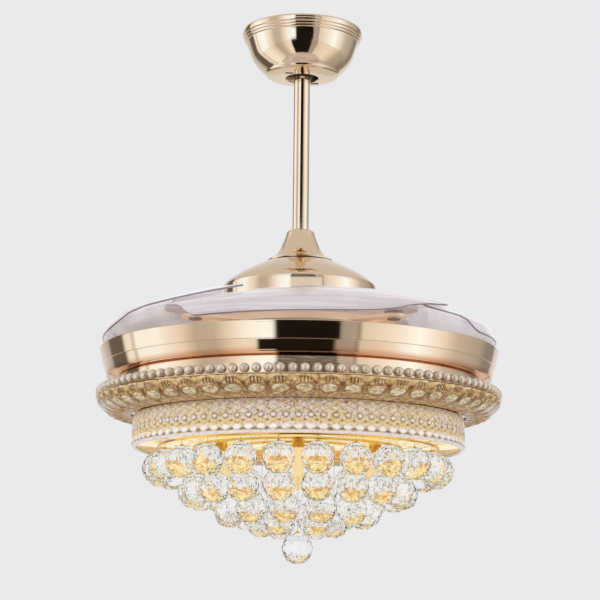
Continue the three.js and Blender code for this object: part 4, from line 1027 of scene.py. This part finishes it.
def studio():
    """What the gold mirrors: soft boxes left and right, a dark front, pale above and below.

    The camera sees a plain pale wall, also through the glass. Matt surfaces get plain light.
    """
    world = bpy.data.worlds.new("studio")
    bpy.context.scene.world = world
    world.use_nodes = True
    world.node_tree.nodes.clear()
    w = Nodes(world.node_tree)
    part = w.split("Generated")
    compass = w.math("ARCTAN2", part["X"], w.times(part["Y"], -1.0))
    compass = w.math("ADD", w.math("DIVIDE", compass, TAU), 0.5)
    height = w.math("ADD", w.times(part["Z"], 0.5), 0.5)

    def panorama(levels, warm=1.0):
        """Grey levels by direction in degrees from the front; the bright ones cool, the dark ones warm."""
        stops = []
        for degrees, level in levels:
            tint = warm * (1 + max(0.0, level - 0.9) * 1.2 - max(0.0, 0.2 - level) * 1.1)
            stops.append(((degrees + 180) / 360, (level, level * tint, level * tint * tint, 1)))
        return w.ramp(compass, stops)

    def by_height(under, over, places):
        """Mixes two panoramas by the direction's height: places are (sine, share of over)."""
        return w.mix(w.ramp(height, [((z + 1) / 2, (v, v, v, 1)) for z, v in places]), under, over)

    def backdrop(colour):
        node = w.new("Background")
        w.fill(node.inputs["Color"], colour)
        return node.outputs[0]

    def either(share, a, b):
        node = w.new("MixShader")
        for socket, value in zip(node.inputs, (share, a, b)):
            w.fill(socket, value)
        return node.outputs[0]

    levels = [
        (-180, .8), (-156, .7), (-141, .5), (-137, .15), (-121, .14), (-117.5, .95), (-112, .98),
        (-109.5, .6), (-107, 1.04), (-90, 1.07), (-72, .9), (-62, .56), (-50, .58), (-40, .9), (-32, 1.02),
        (-20, 1.08), (-14.6, 1.06), (-13.4, .012), (22.8, .012), (24.2, .42), (33, .46), (34.5, .24),
        (36.2, .8), (52, .95), (73, 1.09), (90, .92), (102, .6), (126, .44), (136, .28), (147, .27),
        (153, .75), (180, .8)]
    # Lower down, the dark front reaches further to the left and less far to the right
    low_levels = sorted([(d, v * (.93 if d < 60 else .86)) for d, v in levels if not -25 < d < 24]
                        + [(-25.6, .94), (-24.4, .014), (20.6, .014), (22, .4)])
    # The same round without the dark front, for the heights at which the dome mirrors it
    open_levels = [(d, max(v, .85) if -20 < d < 34 else v) for d, v in levels]
    look = by_height(panorama(levels), panorama(open_levels), [
        (-1, 0), (.09, 0), (.11, .09), (.160, .09), (.166, 1), (.213, 1), (.2165, 0), (1, 0)])
    look = by_height(look, panorama(low_levels, 0.96), [(-1, 1), (-.375, 1), (-.345, 0), (1, 0)])
    look = w.mix(w.step(part["Z"], 0.30, 0.75), look, (0.66, 0.65, 0.64, 1))
    look = w.mix(w.step(part["Z"], -0.85, -0.97), look, (0.6, 0.58, 0.56, 1))
    ray = w.new("LightPath").outputs
    lit = either(ray["Is Diffuse Ray"], backdrop(look), backdrop((0.86, 0.86, 0.87, 1)))
    seen = w.math("MAXIMUM", ray["Is Camera Ray"], ray["Is Transmission Ray"])
    wall = backdrop(srgb(234, 234, 236))
    w.fill(w.new("OutputWorld").inputs["Surface"], either(seen, lit, wall))


def soft_box(name, place, size, power):
    """Area light aimed at the fan, which shows in no mirror."""
    data = bpy.data.lights.new(name, "AREA")
    data.shape = "RECTANGLE"
    data.size, data.size_y = size
    data.energy = power
    obj = add_object(name, data)
    obj.location = place
    obj.rotation_euler = (Vector((0, 0, -0.4)) - Vector(place)).to_track_quat("-Z", "Y").to_euler()
    obj.visible_glossy = False
    obj.visible_transmission = False
    obj.visible_camera = False


def paper_floor():
    side, level = 6, -2.3
    mesh = bpy.data.meshes.new("studio_floor")
    corners = [(-side, -side, level), (side, -side, level), (side, side, level), (-side, side, level)]
    mesh.from_pydata(corners, [], [(0, 1, 2, 3)])
    paper = Material("studio_paper", Roughness=0.9)
    tint = paper.ramp(paper.noise(1.5), [(0.3, srgb(232, 232, 234)), (0.7, srgb(236, 236, 238))])
    paper.set(Base_Color=tint)
    floor = add_object("studio_floor", mesh, paper.made)
    floor.visible_glossy = False


def camera():
    """Fitted to the photograph's ellipses: 2.3 m away, a little below the fan, looking up."""
    focal_pixels, picture, sensor = 1854, 600, 36
    tilt, roll = math.radians(10.59), math.radians(0.59)
    data = bpy.data.cameras.new("camera")
    data.sensor_width = sensor
    data.lens = sensor * focal_pixels / picture
    data.clip_end = 60
    obj = add_object("camera", data)
    obj.matrix_world = (Matrix.Translation((0.00029, -2.325, -0.792))
                        @ Matrix.Rotation(math.pi / 2 + tilt, 4, "X") @ Matrix.Rotation(roll, 4, "Z"))
    bpy.context.scene.camera = obj


studio()
soft_box("soft_left", (-2.2, -1.5, 0.1), (1.4, 1.8), 26)
soft_box("soft_right", (2.0, -1.9, 0.0), (1.2, 1.6), 20)
paper_floor()
camera()
bpy.context.scene.view_settings.view_transform = "Standard"
